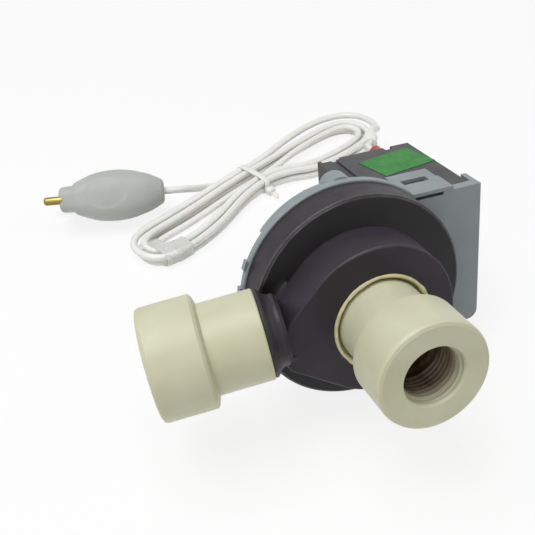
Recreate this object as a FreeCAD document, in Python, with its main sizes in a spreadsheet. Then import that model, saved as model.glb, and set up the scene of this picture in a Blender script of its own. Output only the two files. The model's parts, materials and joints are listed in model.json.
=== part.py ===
# Magnet-driven drain pump with two threaded adapters, on its mains lead.
#
# Every rigid piece is drawn in the pump's own frame: x to the right, y up and z along
# the pump's axis, out of the inlet. One placement then lays the pump on its back edge,
# as it rests on a table: on the rim of its base and on the two feet of its motor.
# Units are millimetres.
import FreeCAD, Part
import math
import os

import Sketcher

Vector = FreeCAD.Vector
Rotation = FreeCAD.Rotation
Placement = FreeCAD.Placement

doc = FreeCAD.newDocument("drain_pump")
sheet = doc.addObject("Spreadsheet::Sheet", "sizes")

# Driving dimensions
SIZES = {
    # casing
    "flange_radius": 39.3,
    "flange_front": 6.0,
    "flange_depth": 12.3,
    "skirt_wall": 2.3,
    "plate_wall": 2.4,
    "plate_rise": 2.3,
    "scroll_radius": 27.8,
    "scroll_step": 1.3,
    "scroll_start": -124.0,
    "scroll_finish": 136.0,
    "scroll_nose": 35.2,
    "nose_round": 3.5,
    "scroll_front": 23.3,
    "scroll_wall": 2.2,
    "scroll_draft": 1.5,
    "face_wall": 4.2,
    "face_round": 0.7,
    "wall_foot": 6.9,
    # outlet
    "outlet_height": 10.3,
    "outlet_forward": 25.6,
    "outlet_swing": 9.3,
    "outlet_drop": 7.3,
    "outlet_boss_radius": 13.6,
    "outlet_boss_start": 35.0,
    "outlet_boss_end": 41.9,
    "outlet_boss_round": 2.5,
    "throat_radius": 5.0,
    "throat_reach": 4.0,
    # spigots and adapters
    "spigot_radius": 12.3,
    "spigot_length": 16.5,
    "spigot_seat": 2.0,
    "passage_radius": 9.0,
    "socket_clearance": 0.05,
    "socket_radius": 15.5,
    "socket_depth": 17.5,
    "collar_radius": 19.3,
    "collar_length": 18.8,
    "collar_shoulder": 0.9,
    "collar_round": 1.4,
    "adapter_length": 38.4,
    "stop_radius": 8.6,
    "stop_length": 3.0,
    "thread_radius": 10.48,
    "mouth_flare": 0.5,
    "bead_radius": 17.9,
    "bead_height": 0.6,
    "face_recess": 2.8,
    # base
    "rim_radius": 40.2,
    "rim_thick": 2.7,
    "register_clearance": 0.6,
    "register_height": 5.3,
    "groove_width": 2.8,
    "groove_depth": 2.2,
    "seal_thick": 2.55,
    "can_radius": 12.8,
    "can_wall": 1.5,
    "can_length": 47.6,
    "can_floor": 1.6,
    "bearing_pocket": 6.4,
    "lobe_radius": 38.0,
    "lobe_depth": 10.0,
    "lobe_round": 6.0,
    "lobe_inner": 27.0,
    "lobe_from": 96.0,
    "lobe_to": 139.0,
    "peg_radius": 5.6,
    "peg_height": 35.3,
    "peg_offset": 0.6,
    "peg_depth": 7.0,
    "lug_reach": 1.0,
    "lug_width": 3.6,
    # ear, tray and latch
    "ear_right": 55.4,
    "ear_bottom": 30.5,
    "ear_top": 27.4,
    "ear_corner": 4.0,
    "tray_left": 8.0,
    "tray_wall": 2.1,
    "tray_depth": 8.0,
    "ledge_top": 28.9,
    "ledge_thick": 1.4,
    "ledge_left": 12.0,
    "ledge_right": 43.8,
    "ledge_depth": 8.4,
    "latch_left": 26.0,
    "latch_right": 43.0,
    "latch_depth": 16.8,
    "window_left": 29.0,
    "window_width": 10.2,
    "window_front": 10.4,
    "window_depth": 3.7,
    "slot_width": 11.5,
    "slot_height": 1.5,
    # stator
    "motor_left": 11.5,
    "motor_right": 52.0,
    "motor_half": 27.4,
    "motor_front": 10.6,
    "motor_back": 57.0,
    "cover_wall": 1.3,
    "cover_step": 19.0,
    "cover_drop": 1.2,
    "foot_width": 2.4,
    "core_left": 13.0,
    "core_right": 49.8,
    "leg_inner": 11.0,
    "leg_outer": 21.4,
    "yoke_left": 38.5,
    "core_front": 19.0,
    "core_stack": 28.0,
    "pole_radius": 13.2,
    "pole_slant": 14.0,
    "pole_lip": 1.4,
    "bobbin_left": 14.0,
    "bobbin_right": 37.4,
    "bobbin_wall": 1.0,
    "bobbin_gap": 0.1,
    "cheek_thick": 1.3,
    "cheek_inner": 5.6,
    "cheek_outer": 26.0,
    "winding_thick": 3.4,
    "label_length": 24.0,
    "label_width": 18.0,
    "label_turn": 11.0,
    "label_thick": 0.2,
    # terminals and wires
    "terminal_x": 40.7,
    "terminal_high": 23.4,
    "terminal_low": 15.0,
    "tab_width": 4.8,
    "tab_thick": 0.8,
    "tab_length": 7.5,
    "sleeve_radius": 3.1,
    "sleeve_length": 13.0,
    "wire_radius": 1.1,
    "boot_radius": 3.0,
    "boot_length": 10.0,
    # cord, hank and tie
    "cord_radius": 1.7,
    "lane": 4.5,
    "waist_lane": 3.9,
    "layer": 3.9,
    "hank_reach": 78.8,
    "hank_bulge": 55.0,
    "left_bulge": 61.0,
    "left_half": 13.6,
    "left_drop": 1.5,
    "hank_half": 16.2,
    "waist_half": 8.8,
    "waist_shift": 4.8,
    "waist_lift": 1.0,
    "hank_turns": 4.0,
    "hank_heading": 24.8,
    "tie_width": 3.2,
    "tie_thick": 0.7,
    "tie_gap": 0.2,
    # plug
    "plug_length": 36.0,
    "plug_nose": 9.5,
    "plug_width": 26.0,
    "plug_height": 24.0,
    "nose_height": 14.0,
    "pin_radius": 1.9,
    "pin_reach": 9.4,
    "pin_spacing": 19.0,
    "pin_seat": 4.0,
    "plug_roll": 34.0,
    # rotor
    "shaft_radius": 2.0,
    "shaft_front": 17.6,
    "shaft_back": 51.8,
    "running_fit": 0.05,
    "bearing_radius": 5.0,
    "bearing_length": 5.6,
    "cushion_radius": 7.5,
    "carrier_flange": 16.0,
    "carrier_depth": 9.0,
    "carrier_plate": 1.8,
    "magnet_radius": 10.6,
    "magnet_length": 31.0,
    "magnet_front": 13.6,
    "hub_radius": 7.0,
    "hub_collar": 0.9,
    "washer_thick": 0.5,
    "washer_radius": 4.6,
    "end_play": 0.15,
    # impeller and drive
    "impeller_radius": 21.0,
    "impeller_back": 4.2,
    "impeller_disc": 1.8,
    "impeller_front": 16.4,
    "blade_count": 6.0,
    "blade_wall": 1.6,
    "blade_bow": 24.0,
    "impeller_hub": 8.4,
    "drive_pocket": 6.9,
    "drive_depth": 6.4,
    "drive_clearance": 0.4,
    "dog_width": 3.0,
    "dog_turn": 47.0,
    "driver_hub": 3.4,
    "driver_gap": 0.5,
    "cap_radius": 4.4,
    "cap_height": 1.4,
    "lip_radius": 7.5,
    "lip_height": 1.9,
}

for line, (word, number) in enumerate(SIZES.items(), 1):
    sheet.set(f"A{line}", word)
    sheet.set(f"B{line}", str(number))
    sheet.setAlias(f"B{line}", word)

doc.recompute()


def plain(term):
    """One term's number: a driving dimension by its word, or a figure."""
    return float(SIZES[term]) if term in SIZES else float(term)


def amount(words):
    """The value of a sum of signed terms, such as 'can_radius - can_wall'."""
    total = 0.0
    sign = 1.0
    for term in words.split():
        if term == "+":
            sign = 1.0
        elif term == "-":
            sign = -1.0
        else:
            total += sign * plain(term)
    return total


def formula(words):
    """The same sum as an expression on the sheet."""
    return " ".join(f"sizes.{term}" if term in SIZES else term for term in words.split())


def bind(thing, prop, words):
    thing.setExpression(prop, formula(words))


# Sketches and features
def plane_of(body, role):
    for item in body.Origin.OriginFeatures:
        if item.Role == role:
            return item
    raise ValueError(role)


def new_body(name):
    body = doc.addObject("PartDesign::Body", name)
    body.Label = name
    return body


def new_sketch(body, name, role="XY_Plane", offset=None):
    sketch = body.newObject("Sketcher::SketchObject", name)
    sketch.AttachmentSupport = [(plane_of(body, role), "")]
    sketch.MapMode = "FlatFace"
    if offset is not None:
        sketch.AttachmentOffset = offset
    return sketch


def raised(words):
    """A sketch offset along its plane's normal."""
    return Placement(Vector(0, 0, amount(words)), Rotation())


def polygon(sketch, corners):
    """A closed outline whose corners are all placed by sums on the sheet."""
    spots = [Vector(amount(across), amount(along), 0) for across, along in corners]
    count = len(spots)
    for index in range(count):
        sketch.addGeometry(Part.LineSegment(spots[index], spots[(index + 1) % count]), False)
    for index in range(count):
        after = (index + 1) % count
        sketch.addConstraint(Sketcher.Constraint("Coincident", index, 2, after, 1))
    for index, (across, along) in enumerate(corners):
        for kind, words in (("DistanceX", across), ("DistanceY", along)):
            spot = Sketcher.Constraint(kind, -1, 1, index, 1, amount(words))
            number = sketch.addConstraint(spot)
            sketch.setExpression(f"Constraints[{number}]", formula(words))


def chain(sketch, edges):
    """A closed outline of arcs and lines, each meeting the next."""
    for edge in edges:
        sketch.addGeometry(edge, False)
    ends = [(edge.StartPoint, edge.EndPoint) for edge in edges]
    for index in range(len(edges)):
        after = (index + 1) % len(edges)
        for mine, spot in enumerate(ends[index], 1):
            for yours, other in enumerate(ends[after], 1):
                if (spot - other).Length < 1e-6:
                    sketch.addConstraint(Sketcher.Constraint("Coincident", index, mine, after, yours))


def circle(sketch, words, across="0", along="0"):
    middle = Vector(amount(across), amount(along), 0)
    ring = sketch.addGeometry(Part.Circle(middle, Vector(0, 0, 1), amount(words)), False)
    for kind, spot in (("DistanceX", across), ("DistanceY", along)):
        number = sketch.addConstraint(Sketcher.Constraint(kind, -1, 1, ring, 3, amount(spot)))
        sketch.setExpression(f"Constraints[{number}]", formula(spot))
    number = sketch.addConstraint(Sketcher.Constraint("Radius", ring, amount(words)))
    sketch.setExpression(f"Constraints[{number}]", formula(words))
    return ring


def turned(body, name, corners, kind="Revolution", angle=360.0, offset=None):
    """A profile of (radius, height) corners turned about the upright axis."""
    sketch = new_sketch(body, f"{name}_profile", "XZ_Plane", offset)
    polygon(sketch, corners)
    spin = body.newObject(f"PartDesign::{kind}", name)
    spin.Profile = sketch
    spin.ReferenceAxis = (sketch, ["V_Axis"])
    spin.Angle = angle
    body.Tip = spin
    return spin


def pad(body, name, sketch, words, back=False):
    rise = body.newObject("PartDesign::Pad", name)
    rise.Profile = sketch
    bind(rise, "Length", words)
    rise.Reversed = back
    body.Tip = rise
    return rise


def pocket(body, name, sketch, words, forward=False):
    """A cut against the sketch's normal, or along it where forward is set."""
    cut = body.newObject("PartDesign::Pocket", name)
    cut.Profile = sketch
    bind(cut, "Length", words)
    cut.Reversed = forward
    body.Tip = cut
    return cut


def edge_names(shape, wanted):
    return [f"Edge{number}" for number, edge in enumerate(shape.Edges, 1) if wanted(edge)]


def fillet(body, name, base, wanted, words):
    doc.recompute()
    names = edge_names(base.Shape, wanted)
    bend = body.newObject("PartDesign::Fillet", name)
    bend.Base = (base, names)
    bind(bend, "Radius", words)
    body.Tip = bend
    return bend


def box(name, low, high):
    """A block between two corners, each given by sums on the sheet."""
    block = doc.addObject("Part::Box", name)
    for prop, start, end in zip(("Length", "Width", "Height"), low, high):
        negated = " ".join({"+": "-", "-": "+"}.get(term, term) for term in start.split())
        lead = "" if negated.startswith(("+", "-")) else "- "
        bind(block, prop, f"{end} {lead}{negated}")
    for axis, start in zip("xyz", low):
        bind(block, f"Placement.Base.{axis}", start)
    return block


def rod(name, radius, height, base=("0", "0", "0")):
    bar = doc.addObject("Part::Cylinder", name)
    bind(bar, "Radius", radius)
    bind(bar, "Height", height)
    for axis, start in zip("xyz", base):
        bind(bar, f"Placement.Base.{axis}", start)
    return bar


def joined(name, things):
    whole = doc.addObject("Part::MultiFuse", name)
    whole.Shapes = things
    whole.Label = name
    return whole


def cut_from(name, base, tool):
    whole = doc.addObject("Part::Cut", name)
    whole.Base = base
    whole.Tool = tool
    whole.Label = name
    return whole


pump_nodes = []
cord_nodes = []

# Volute outline: three arcs whose centres step round a small square, so that the
# radius grows with the turn, then two straight walls that run out to the outlet's nose.
def scroll_outline(inset):
    step = SIZES["scroll_step"]
    first = SIZES["scroll_radius"] - inset
    start = math.radians(SIZES["scroll_start"])
    finish = math.radians(SIZES["scroll_finish"])
    nose = inset - SIZES["scroll_nose"]
    up = Vector(0, 0, 1)
    low_arc = Part.ArcOfCircle(Part.Circle(Vector(0, 0, 0), up, first), start, 0.0)
    side_arc = Part.ArcOfCircle(Part.Circle(Vector(-step, 0, 0), up, first + step), 0.0, math.pi / 2)
    top_circle = Part.Circle(Vector(-step, -step, 0), up, first + 2 * step)
    top_arc = Part.ArcOfCircle(top_circle, math.pi / 2, finish)
    high = top_arc.EndPoint
    low = low_arc.StartPoint
    high_run = Vector(-math.sin(finish), math.cos(finish), 0)
    low_run = Vector(math.sin(start), -math.cos(start), 0)
    high_nose = high + high_run * ((nose - high.x) / high_run.x)
    low_nose = low + low_run * ((nose - low.x) / low_run.x)
    edges = [low_arc, side_arc, top_arc]
    corners = [high, high_nose, low_nose, low]
    bend = max(SIZES["nose_round"] - inset, 1.0)
    at = high
    for before, corner, after in zip(corners, corners[1:], corners[2:]):
        back = (before - corner).normalize()
        on = (after - corner).normalize()
        half = back.getAngle(on) / 2
        reach = bend / math.tan(half)
        entry = corner + back * reach
        leave = corner + on * reach
        inward = (back + on).normalize()
        middle = corner + inward * (bend / math.sin(half))
        deep = middle - inward * bend
        edges.append(Part.LineSegment(at, entry))
        edges.append(Part.Arc(entry, deep, leave))
        at = leave
    edges.append(Part.LineSegment(at, low))
    return edges


def outlet_placement(along):
    """The outlet's own frame: its z runs out of the pump, from the pump's axis."""
    swing = math.radians(SIZES["outlet_swing"])
    drop = math.radians(SIZES["outlet_drop"])
    way = Vector(-math.cos(swing) * math.cos(drop), -math.sin(drop), -math.sin(swing) * math.cos(drop))
    start = Vector(0, SIZES["outlet_height"], SIZES["outlet_forward"])
    return Placement(start + way * along, Rotation(Vector(0, 0, 1), way))


# Volute casing: flange plate and skirt, scroll and outlet boss, then the pumping
# chamber, the water passages, the spigots' seats and the recess round the inlet.
def make_casing():
    body = new_body("volute_casing")
    foot = "flange_front - wall_foot"
    back = "flange_front - flange_depth"
    shell = turned(body, "casing_shell", [
        ("scroll_radius - scroll_wall", "flange_front + plate_rise"),
        ("flange_radius - 0.8", "flange_front"),
        ("flange_radius", "flange_front - 0.8"),
        ("flange_radius", back),
        ("flange_radius - skirt_wall", back),
        ("flange_radius - skirt_wall", "flange_front - plate_wall"),
        ("scroll_radius - scroll_wall", "flange_front + plate_rise - plate_wall"),
    ])
    sketch = new_sketch(body, "scroll_sketch", offset=raised(foot))
    chain(sketch, scroll_outline(0.0))
    scroll = pad(body, "scroll_pad", sketch, "scroll_front - flange_front + wall_foot")
    scroll.TaperAngle = -SIZES["scroll_draft"]
    front = SIZES["scroll_front"]

    def front_edge(edge):
        return all(abs(spot.Point.z - front) < 0.01 for spot in edge.Vertexes)

    rounded = fillet(body, "face_edge", scroll, front_edge, "face_round")

    boss = new_sketch(body, "boss_profile", "XY_Plane", outlet_placement(0).multiply(
        Placement(Vector(0, 0, 0), Rotation(Vector(1, 0, 0), 90))))
    polygon(boss, [
        ("0", "outlet_boss_start"),
        ("outlet_boss_radius - outlet_boss_round", "outlet_boss_start"),
        ("outlet_boss_radius", "outlet_boss_start + outlet_boss_round"),
        ("outlet_boss_radius", "outlet_boss_end"),
        ("0", "outlet_boss_end"),
    ])
    spin = body.newObject("PartDesign::Revolution", "outlet_boss")
    spin.Profile = boss
    spin.ReferenceAxis = (boss, ["V_Axis"])
    spin.Angle = 360.0
    body.Tip = spin

    sketch = new_sketch(body, "chamber_sketch", offset=raised("scroll_front - face_wall"))
    chain(sketch, scroll_outline(SIZES["scroll_wall"]))
    chamber = pocket(body, "chamber", sketch, "scroll_front + wall_foot")

    sketch = new_sketch(body, "recess_sketch", offset=raised("scroll_front"))
    circle(sketch, "bead_radius + 0.05")
    pocket(body, "inlet_recess", sketch, "face_recess")

    sketch = new_sketch(body, "inlet_bore_sketch", offset=raised("scroll_front"))
    circle(sketch, "spigot_radius + socket_clearance")
    pocket(body, "inlet_bore", sketch, "face_wall + 1")

    bore_start = amount("outlet_boss_start + outlet_boss_round")
    sketch = new_sketch(body, "outlet_bore_sketch", offset=outlet_placement(bore_start))
    circle(sketch, "passage_radius")
    pocket(body, "outlet_bore", sketch, "outlet_boss_end - outlet_boss_start - outlet_boss_round + 1", True)

    seat = amount("outlet_boss_end - spigot_seat")
    sketch = new_sketch(body, "outlet_seat_sketch", offset=outlet_placement(seat))
    circle(sketch, "spigot_radius + socket_clearance")
    pocket(body, "outlet_seat", sketch, "spigot_seat + 1", True)

    # The flange's edge is cut back where the outlet adapter's rim passes it
    sketch = new_sketch(body, "adapter_relief_sketch", offset=outlet_placement(amount("outlet_boss_end")))
    circle(sketch, "socket_radius + socket_clearance + 0.1")
    pocket(body, "adapter_relief", sketch, "socket_radius", True)

    # The throat leads from the scroll's nose up into the outlet's bore
    inner = Vector(amount("throat_reach - scroll_nose"), 0.5,
                   amount("scroll_front - face_wall - throat_radius - 1.6"))
    outer = outlet_placement(amount("outlet_boss_end")).Base
    run = outer - inner
    sketch = new_sketch(body, "throat_sketch", offset=Placement(inner, Rotation(Vector(0, 0, 1), run)))
    circle(sketch, "throat_radius")
    throat = body.newObject("PartDesign::Pocket", "throat")
    throat.Profile = sketch
    throat.Length = run.Length
    throat.Reversed = True
    body.Tip = throat
    return body


pump_nodes.append(make_casing())


# Spigots: the two tubes of the casing that the adapters are cemented over
def make_spigot(name, length, seat):
    body = new_body(name)
    turned(body, f"{name}_turning", [
        ("passage_radius", "0"),
        ("spigot_radius", "0"),
        ("spigot_radius", f"{length} - 0.5"),
        ("spigot_radius - 0.5", length),
        ("passage_radius", length),
    ])
    body.Placement = seat
    return body


pump_nodes.append(make_spigot("inlet_spigot", "face_wall - face_recess + spigot_length",
                              Placement(Vector(0, 0, amount("scroll_front - face_wall")), Rotation())))
pump_nodes.append(make_spigot("outlet_spigot", "spigot_seat - 0.02 + spigot_length",
                              outlet_placement(amount("outlet_boss_end - spigot_seat + 0.02"))))


# Pipe adapters: a plain socket that slips over the spigot and a threaded collar
def make_adapter(name, seat):
    body = new_body(name)
    collar = "adapter_length - collar_length"
    turned(body, f"{name}_turning", [
        ("spigot_radius + socket_clearance", "0"),
        ("socket_radius - 0.4", "0"),
        ("socket_radius", "0.4"),
        ("socket_radius", f"{collar} - collar_shoulder"),
        ("collar_radius - collar_shoulder", collar),
        ("collar_radius", f"{collar} + collar_shoulder"),
        ("collar_radius", "adapter_length - collar_round"),
        ("collar_radius - 0.4", "adapter_length - 0.4"),
        ("collar_radius - collar_round", "adapter_length"),
        ("thread_radius + mouth_flare", "adapter_length"),
        ("thread_radius", "adapter_length - 1"),
        ("thread_radius", "socket_depth + stop_length"),
        ("stop_radius", "socket_depth + stop_length"),
        ("stop_radius", "socket_depth"),
        ("spigot_radius + socket_clearance", "socket_depth"),
    ])
    body.Placement = seat
    return body


inlet_seat = Placement(Vector(0, 0, amount("scroll_front - face_recess")), Rotation())
outlet_seat = outlet_placement(amount("outlet_boss_end + 0.05"))
pump_nodes.append(make_adapter("inlet_adapter", inlet_seat))
pump_nodes.append(make_adapter("outlet_adapter", outlet_seat))


# Cement bead that fills the recess round the inlet adapter and stands a little proud
def make_bead():
    body = new_body("inlet_cement_bead")
    turned(body, "bead_turning", [
        ("socket_radius + 0.05", "scroll_front - face_recess"),
        ("bead_radius", "scroll_front - face_recess"),
        ("bead_radius", "scroll_front"),
        ("bead_radius - 0.5", "scroll_front + bead_height"),
        ("socket_radius + 0.6", "scroll_front + bead_height"),
        ("socket_radius + 0.05", "scroll_front"),
    ])
    return body


pump_nodes.append(make_bead())

rim_front = "flange_front - flange_depth"
rim_back = "flange_front - flange_depth - rim_thick"
register_front = "flange_front - flange_depth + register_height"
register_radius = "flange_radius - skirt_wall - register_clearance"


# Base: rim plate, raised register with its seal groove, rotor can with the back
# bearing's pocket, back lobe and screw peg, rim lugs, and the ear that grows into a
# tray round the motor, with a ledge, a slot and a latch tab over it.
def make_base():
    body = new_body("base_moulding")
    can_back = f"{rim_back} - can_length"
    pocket_back = f"{can_back} + can_floor"
    groove_back = f"{rim_front} + 1.1"
    turned(body, "base_turning", [
        ("can_radius - can_wall", register_front),
        (register_radius, register_front),
        (register_radius, f"{groove_back} + groove_width"),
        (f"{register_radius} - groove_depth", f"{groove_back} + groove_width"),
        (f"{register_radius} - groove_depth", groove_back),
        (register_radius, groove_back),
        (register_radius, rim_front),
        ("rim_radius - 0.4", rim_front),
        ("rim_radius", f"{rim_front} - 0.4"),
        ("rim_radius", rim_back),
        ("can_radius", rim_back),
        ("can_radius", can_back),
        ("0", can_back),
        ("0", pocket_back),
        ("cushion_radius + running_fit", pocket_back),
        ("cushion_radius + running_fit", f"{pocket_back} + bearing_pocket"),
        ("can_radius - can_wall", f"{pocket_back} + bearing_pocket"),
    ])

    ear = new_sketch(body, "ear_sketch", offset=raised(rim_back))
    right = amount("ear_right")
    top = amount("ear_top")
    low = -amount("ear_bottom")
    left = amount("tray_left")
    bend = amount("ear_corner")
    up = Vector(0, 0, 1)
    corner = Part.Circle(Vector(right - bend, low + bend, 0), up, bend)
    chain(ear, [
        Part.LineSegment(Vector(left, low, 0), Vector(right - bend, low, 0)),
        Part.ArcOfCircle(corner, -math.pi / 2, 0.0),
        Part.LineSegment(Vector(right, low + bend, 0), Vector(right, top, 0)),
        Part.LineSegment(Vector(right, top, 0), Vector(left, top, 0)),
        Part.LineSegment(Vector(left, top, 0), Vector(left, low, 0)),
    ])
    pad(body, "ear_plate", ear, "rim_thick")

    wall = amount("tray_wall")
    inner = max(bend - wall, 0.5)
    tray = new_sketch(body, "tray_sketch", offset=raised(f"{rim_back} - tray_depth"))
    round_in = Part.Circle(Vector(right - wall - inner, low + wall + inner, 0), up, inner)
    chain(tray, [
        Part.LineSegment(Vector(left, low, 0), Vector(right - bend, low, 0)),
        Part.ArcOfCircle(corner, -math.pi / 2, 0.0),
        Part.LineSegment(Vector(right, low + bend, 0), Vector(right, top, 0)),
        Part.LineSegment(Vector(right, top, 0), Vector(right - wall, top, 0)),
        Part.LineSegment(Vector(right - wall, top, 0), Vector(right - wall, low + wall + inner, 0)),
        Part.ArcOfCircle(round_in, -math.pi / 2, 0.0),
        Part.LineSegment(Vector(right - wall - inner, low + wall, 0), Vector(left, low + wall, 0)),
        Part.LineSegment(Vector(left, low + wall, 0), Vector(left, low, 0)),
    ])
    pad(body, "tray_walls", tray, "tray_depth + 0.1")

    turn = Placement(Vector(), Rotation(Vector(0, 0, 1), amount("lobe_from"))).multiply(
        Placement(Vector(), Rotation(Vector(1, 0, 0), 90)))
    lobe = new_sketch(body, "lobe_profile", "XY_Plane", turn)
    reach = amount("lobe_radius")
    inner_reach = amount("lobe_inner")
    foot = amount(rim_back) + 0.2
    deep = amount(f"{rim_back} - lobe_depth")
    curve = amount("lobe_round")
    hollow = Part.Circle(Vector(reach - curve, deep + curve, 0), up, curve)
    chain(lobe, [
        Part.LineSegment(Vector(inner_reach, foot, 0), Vector(reach, foot, 0)),
        Part.LineSegment(Vector(reach, foot, 0), Vector(reach, deep + curve, 0)),
        Part.ArcOfCircle(hollow, -math.pi / 2, 0.0),
        Part.LineSegment(Vector(reach - curve, deep, 0), Vector(inner_reach, deep, 0)),
        Part.LineSegment(Vector(inner_reach, deep, 0), Vector(inner_reach, foot, 0)),
    ])
    spin = body.newObject("PartDesign::Revolution", "back_lobe")
    spin.Profile = lobe
    spin.ReferenceAxis = (lobe, ["V_Axis"])
    spin.Angle = amount("lobe_to - lobe_from")
    body.Tip = spin

    peg = new_sketch(body, "peg_sketch", offset=raised(f"{rim_back} - peg_depth"))
    circle(peg, "peg_radius", "peg_offset", "peg_height")
    pad(body, "screw_peg", peg, "peg_depth + 0.2")

    ledge_low = "ledge_top - ledge_thick"
    back = f"{rim_back} - ledge_depth"
    front = rim_front
    ledge = box("ledge_block", ("ledge_left", ledge_low, back), ("ledge_right", "ledge_top", front))
    shelf = box("ear_shelf", ("ledge_right - 0.5", "ear_top - ledge_thick - 0.6", "0.3 - motor_front"),
                ("ear_right", "ear_top", front))
    latch_back = f"{rim_back} - latch_depth"
    latch = box("latch_block", ("latch_left", ledge_low, latch_back),
                ("latch_right", "ledge_top", back + " + 0.5"))
    lugs = []
    for number, around in enumerate((158.5, 173.0), 1):
        lug = box(f"rim_lug_{number}", ("rim_radius - 1.5", "0 - lug_width", rim_back),
                  ("rim_radius + lug_reach", "0", rim_front + " - 0.3"))
        turn_lug = doc.addObject("Part::Compound", f"rim_lug_turned_{number}")
        turn_lug.Links = [lug]
        turn_lug.Placement = Placement(Vector(), Rotation(Vector(0, 0, 1), around))
        lugs.append(turn_lug)
    whole = joined("base_joined", [body, ledge, shelf, latch] + lugs)
    window = box("latch_window",
                 ("window_left", f"{ledge_low} - 1", f"{rim_back} - window_front"),
                 ("window_left + window_width", "ledge_top + 1",
                  f"{rim_back} - window_front + window_depth"))
    slot = box("ear_slot",
               ("window_left - 0.6", f"{ledge_low} - slot_height", f"{rim_back} - 1"),
               ("window_left - 0.6 + slot_width", ledge_low, "flange_front"))
    bore = rod("can_clearance", "can_radius - can_wall", f"rim_thick + tray_depth + 20",
               ("0", "0", f"{rim_back} - tray_depth"))
    return cut_from("motor_base", whole, joined("base_cuts", [window, slot, bore]))


pump_nodes.append(make_base())


# Ring seal in the register's groove
def make_seal():
    ring = doc.addObject("Part::Torus", "seal_ring")
    ring.Radius1 = amount(f"{register_radius} - groove_depth + 0.02") + amount("seal_thick") / 2
    bind(ring, "Radius2", "seal_thick / 2")
    bind(ring, "Placement.Base.z", f"{rim_front} + 1.1 + groove_width / 2")
    seal = doc.addObject("Part::Compound", "chamber_seal")
    seal.Label = "chamber_seal"
    seal.Links = [ring]
    return seal


pump_nodes.append(make_seal())


# Stator core: a stack of U-shaped laminations whose two legs close round the can
def make_core():
    body = new_body("stator_core")
    sketch = new_sketch(body, "lamination", offset=raised("0 - core_front - core_stack"))
    polygon(sketch, [
        ("0 - core_left", "0 - leg_inner - pole_lip"),
        ("pole_slant - core_left", "0 - leg_outer"),
        ("core_right", "0 - leg_outer"),
        ("core_right", "leg_outer"),
        ("pole_slant - core_left", "leg_outer"),
        ("0 - core_left", "leg_inner + pole_lip"),
        ("0 - core_left", "leg_inner"),
        ("yoke_left", "leg_inner"),
        ("yoke_left", "0 - leg_inner"),
        ("0 - core_left", "0 - leg_inner"),
    ])
    pad(body, "stack", sketch, "core_stack")
    sketch = new_sketch(body, "pole_sketch", offset=raised("0 - core_front"))
    circle(sketch, "pole_radius")
    pocket(body, "pole_bore", sketch, "core_stack")
    return body


pump_nodes.append(make_core())


# Coils: a bobbin with two cheeks on each leg, and the wire wound on it
def make_coil(which, sign):
    gap = "bobbin_gap"
    wall = "bobbin_wall"
    stack_back = "0 - core_front - core_stack"

    def flipped(words):
        if sign > 0:
            return words
        swap = {"+": "-", "-": "+"}
        terms = words.split()
        if terms[0] not in swap:
            terms = ["+"] + terms
        return "0 " + " ".join(swap.get(term, term) for term in terms)

    def block(name, left, right, inner, outer, back, front):
        low, high = (inner, outer) if sign > 0 else (flipped(outer), flipped(inner))
        return box(name, (left, low, back), (right, high, front))

    hole = block(f"{which}_leg_hole", "bobbin_left - 5", "bobbin_right + 5",
                 f"leg_inner - {gap}", f"leg_outer + {gap}",
                 f"{stack_back} - {gap}", f"{gap} - core_front")
    tube = block(f"{which}_tube", "bobbin_left", "bobbin_right",
                 f"leg_inner - {gap} - {wall}", f"leg_outer + {gap} + {wall}",
                 f"{stack_back} - {gap} - {wall}", f"{gap} + {wall} - core_front")
    reach = f"{gap} + {wall} + winding_thick + 0.3"
    cheeks = []
    for end, start in (("left", "bobbin_left"), ("right", "bobbin_right - cheek_thick")):
        cheeks.append(block(f"{which}_cheek_{end}", start, f"{start} + cheek_thick",
                            "cheek_inner", "cheek_outer",
                            f"{stack_back} - {gap} - {wall} - winding_thick - 0.3",
                            f"{reach} - core_front"))
    bobbin = cut_from(f"bobbin_{which}", joined(f"{which}_spool", [tube] + cheeks), hole)
    clear = "0.05"
    inside = block(f"{which}_winding_core", "bobbin_left", "bobbin_right",
                   f"leg_inner - {gap} - {wall} - {clear}", f"leg_outer + {gap} + {wall} + {clear}",
                   f"{stack_back} - {gap} - {wall} - {clear}", f"{gap} + {wall} + {clear} - core_front")
    outside = block(f"{which}_winding_outside",
                    f"bobbin_left + cheek_thick + {clear}", f"bobbin_right - cheek_thick - {clear}",
                    f"leg_inner - {gap} - {wall} - winding_thick", f"leg_outer + {gap} + {wall} + winding_thick",
                    f"{stack_back} - {gap} - {wall} - winding_thick",
                    f"{gap} + {wall} + winding_thick - core_front")
    winding = cut_from(f"winding_{which}", outside, inside)
    return [bobbin, winding]


pump_nodes.extend(make_coil("upper", 1))
pump_nodes.extend(make_coil("lower", -1))


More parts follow.
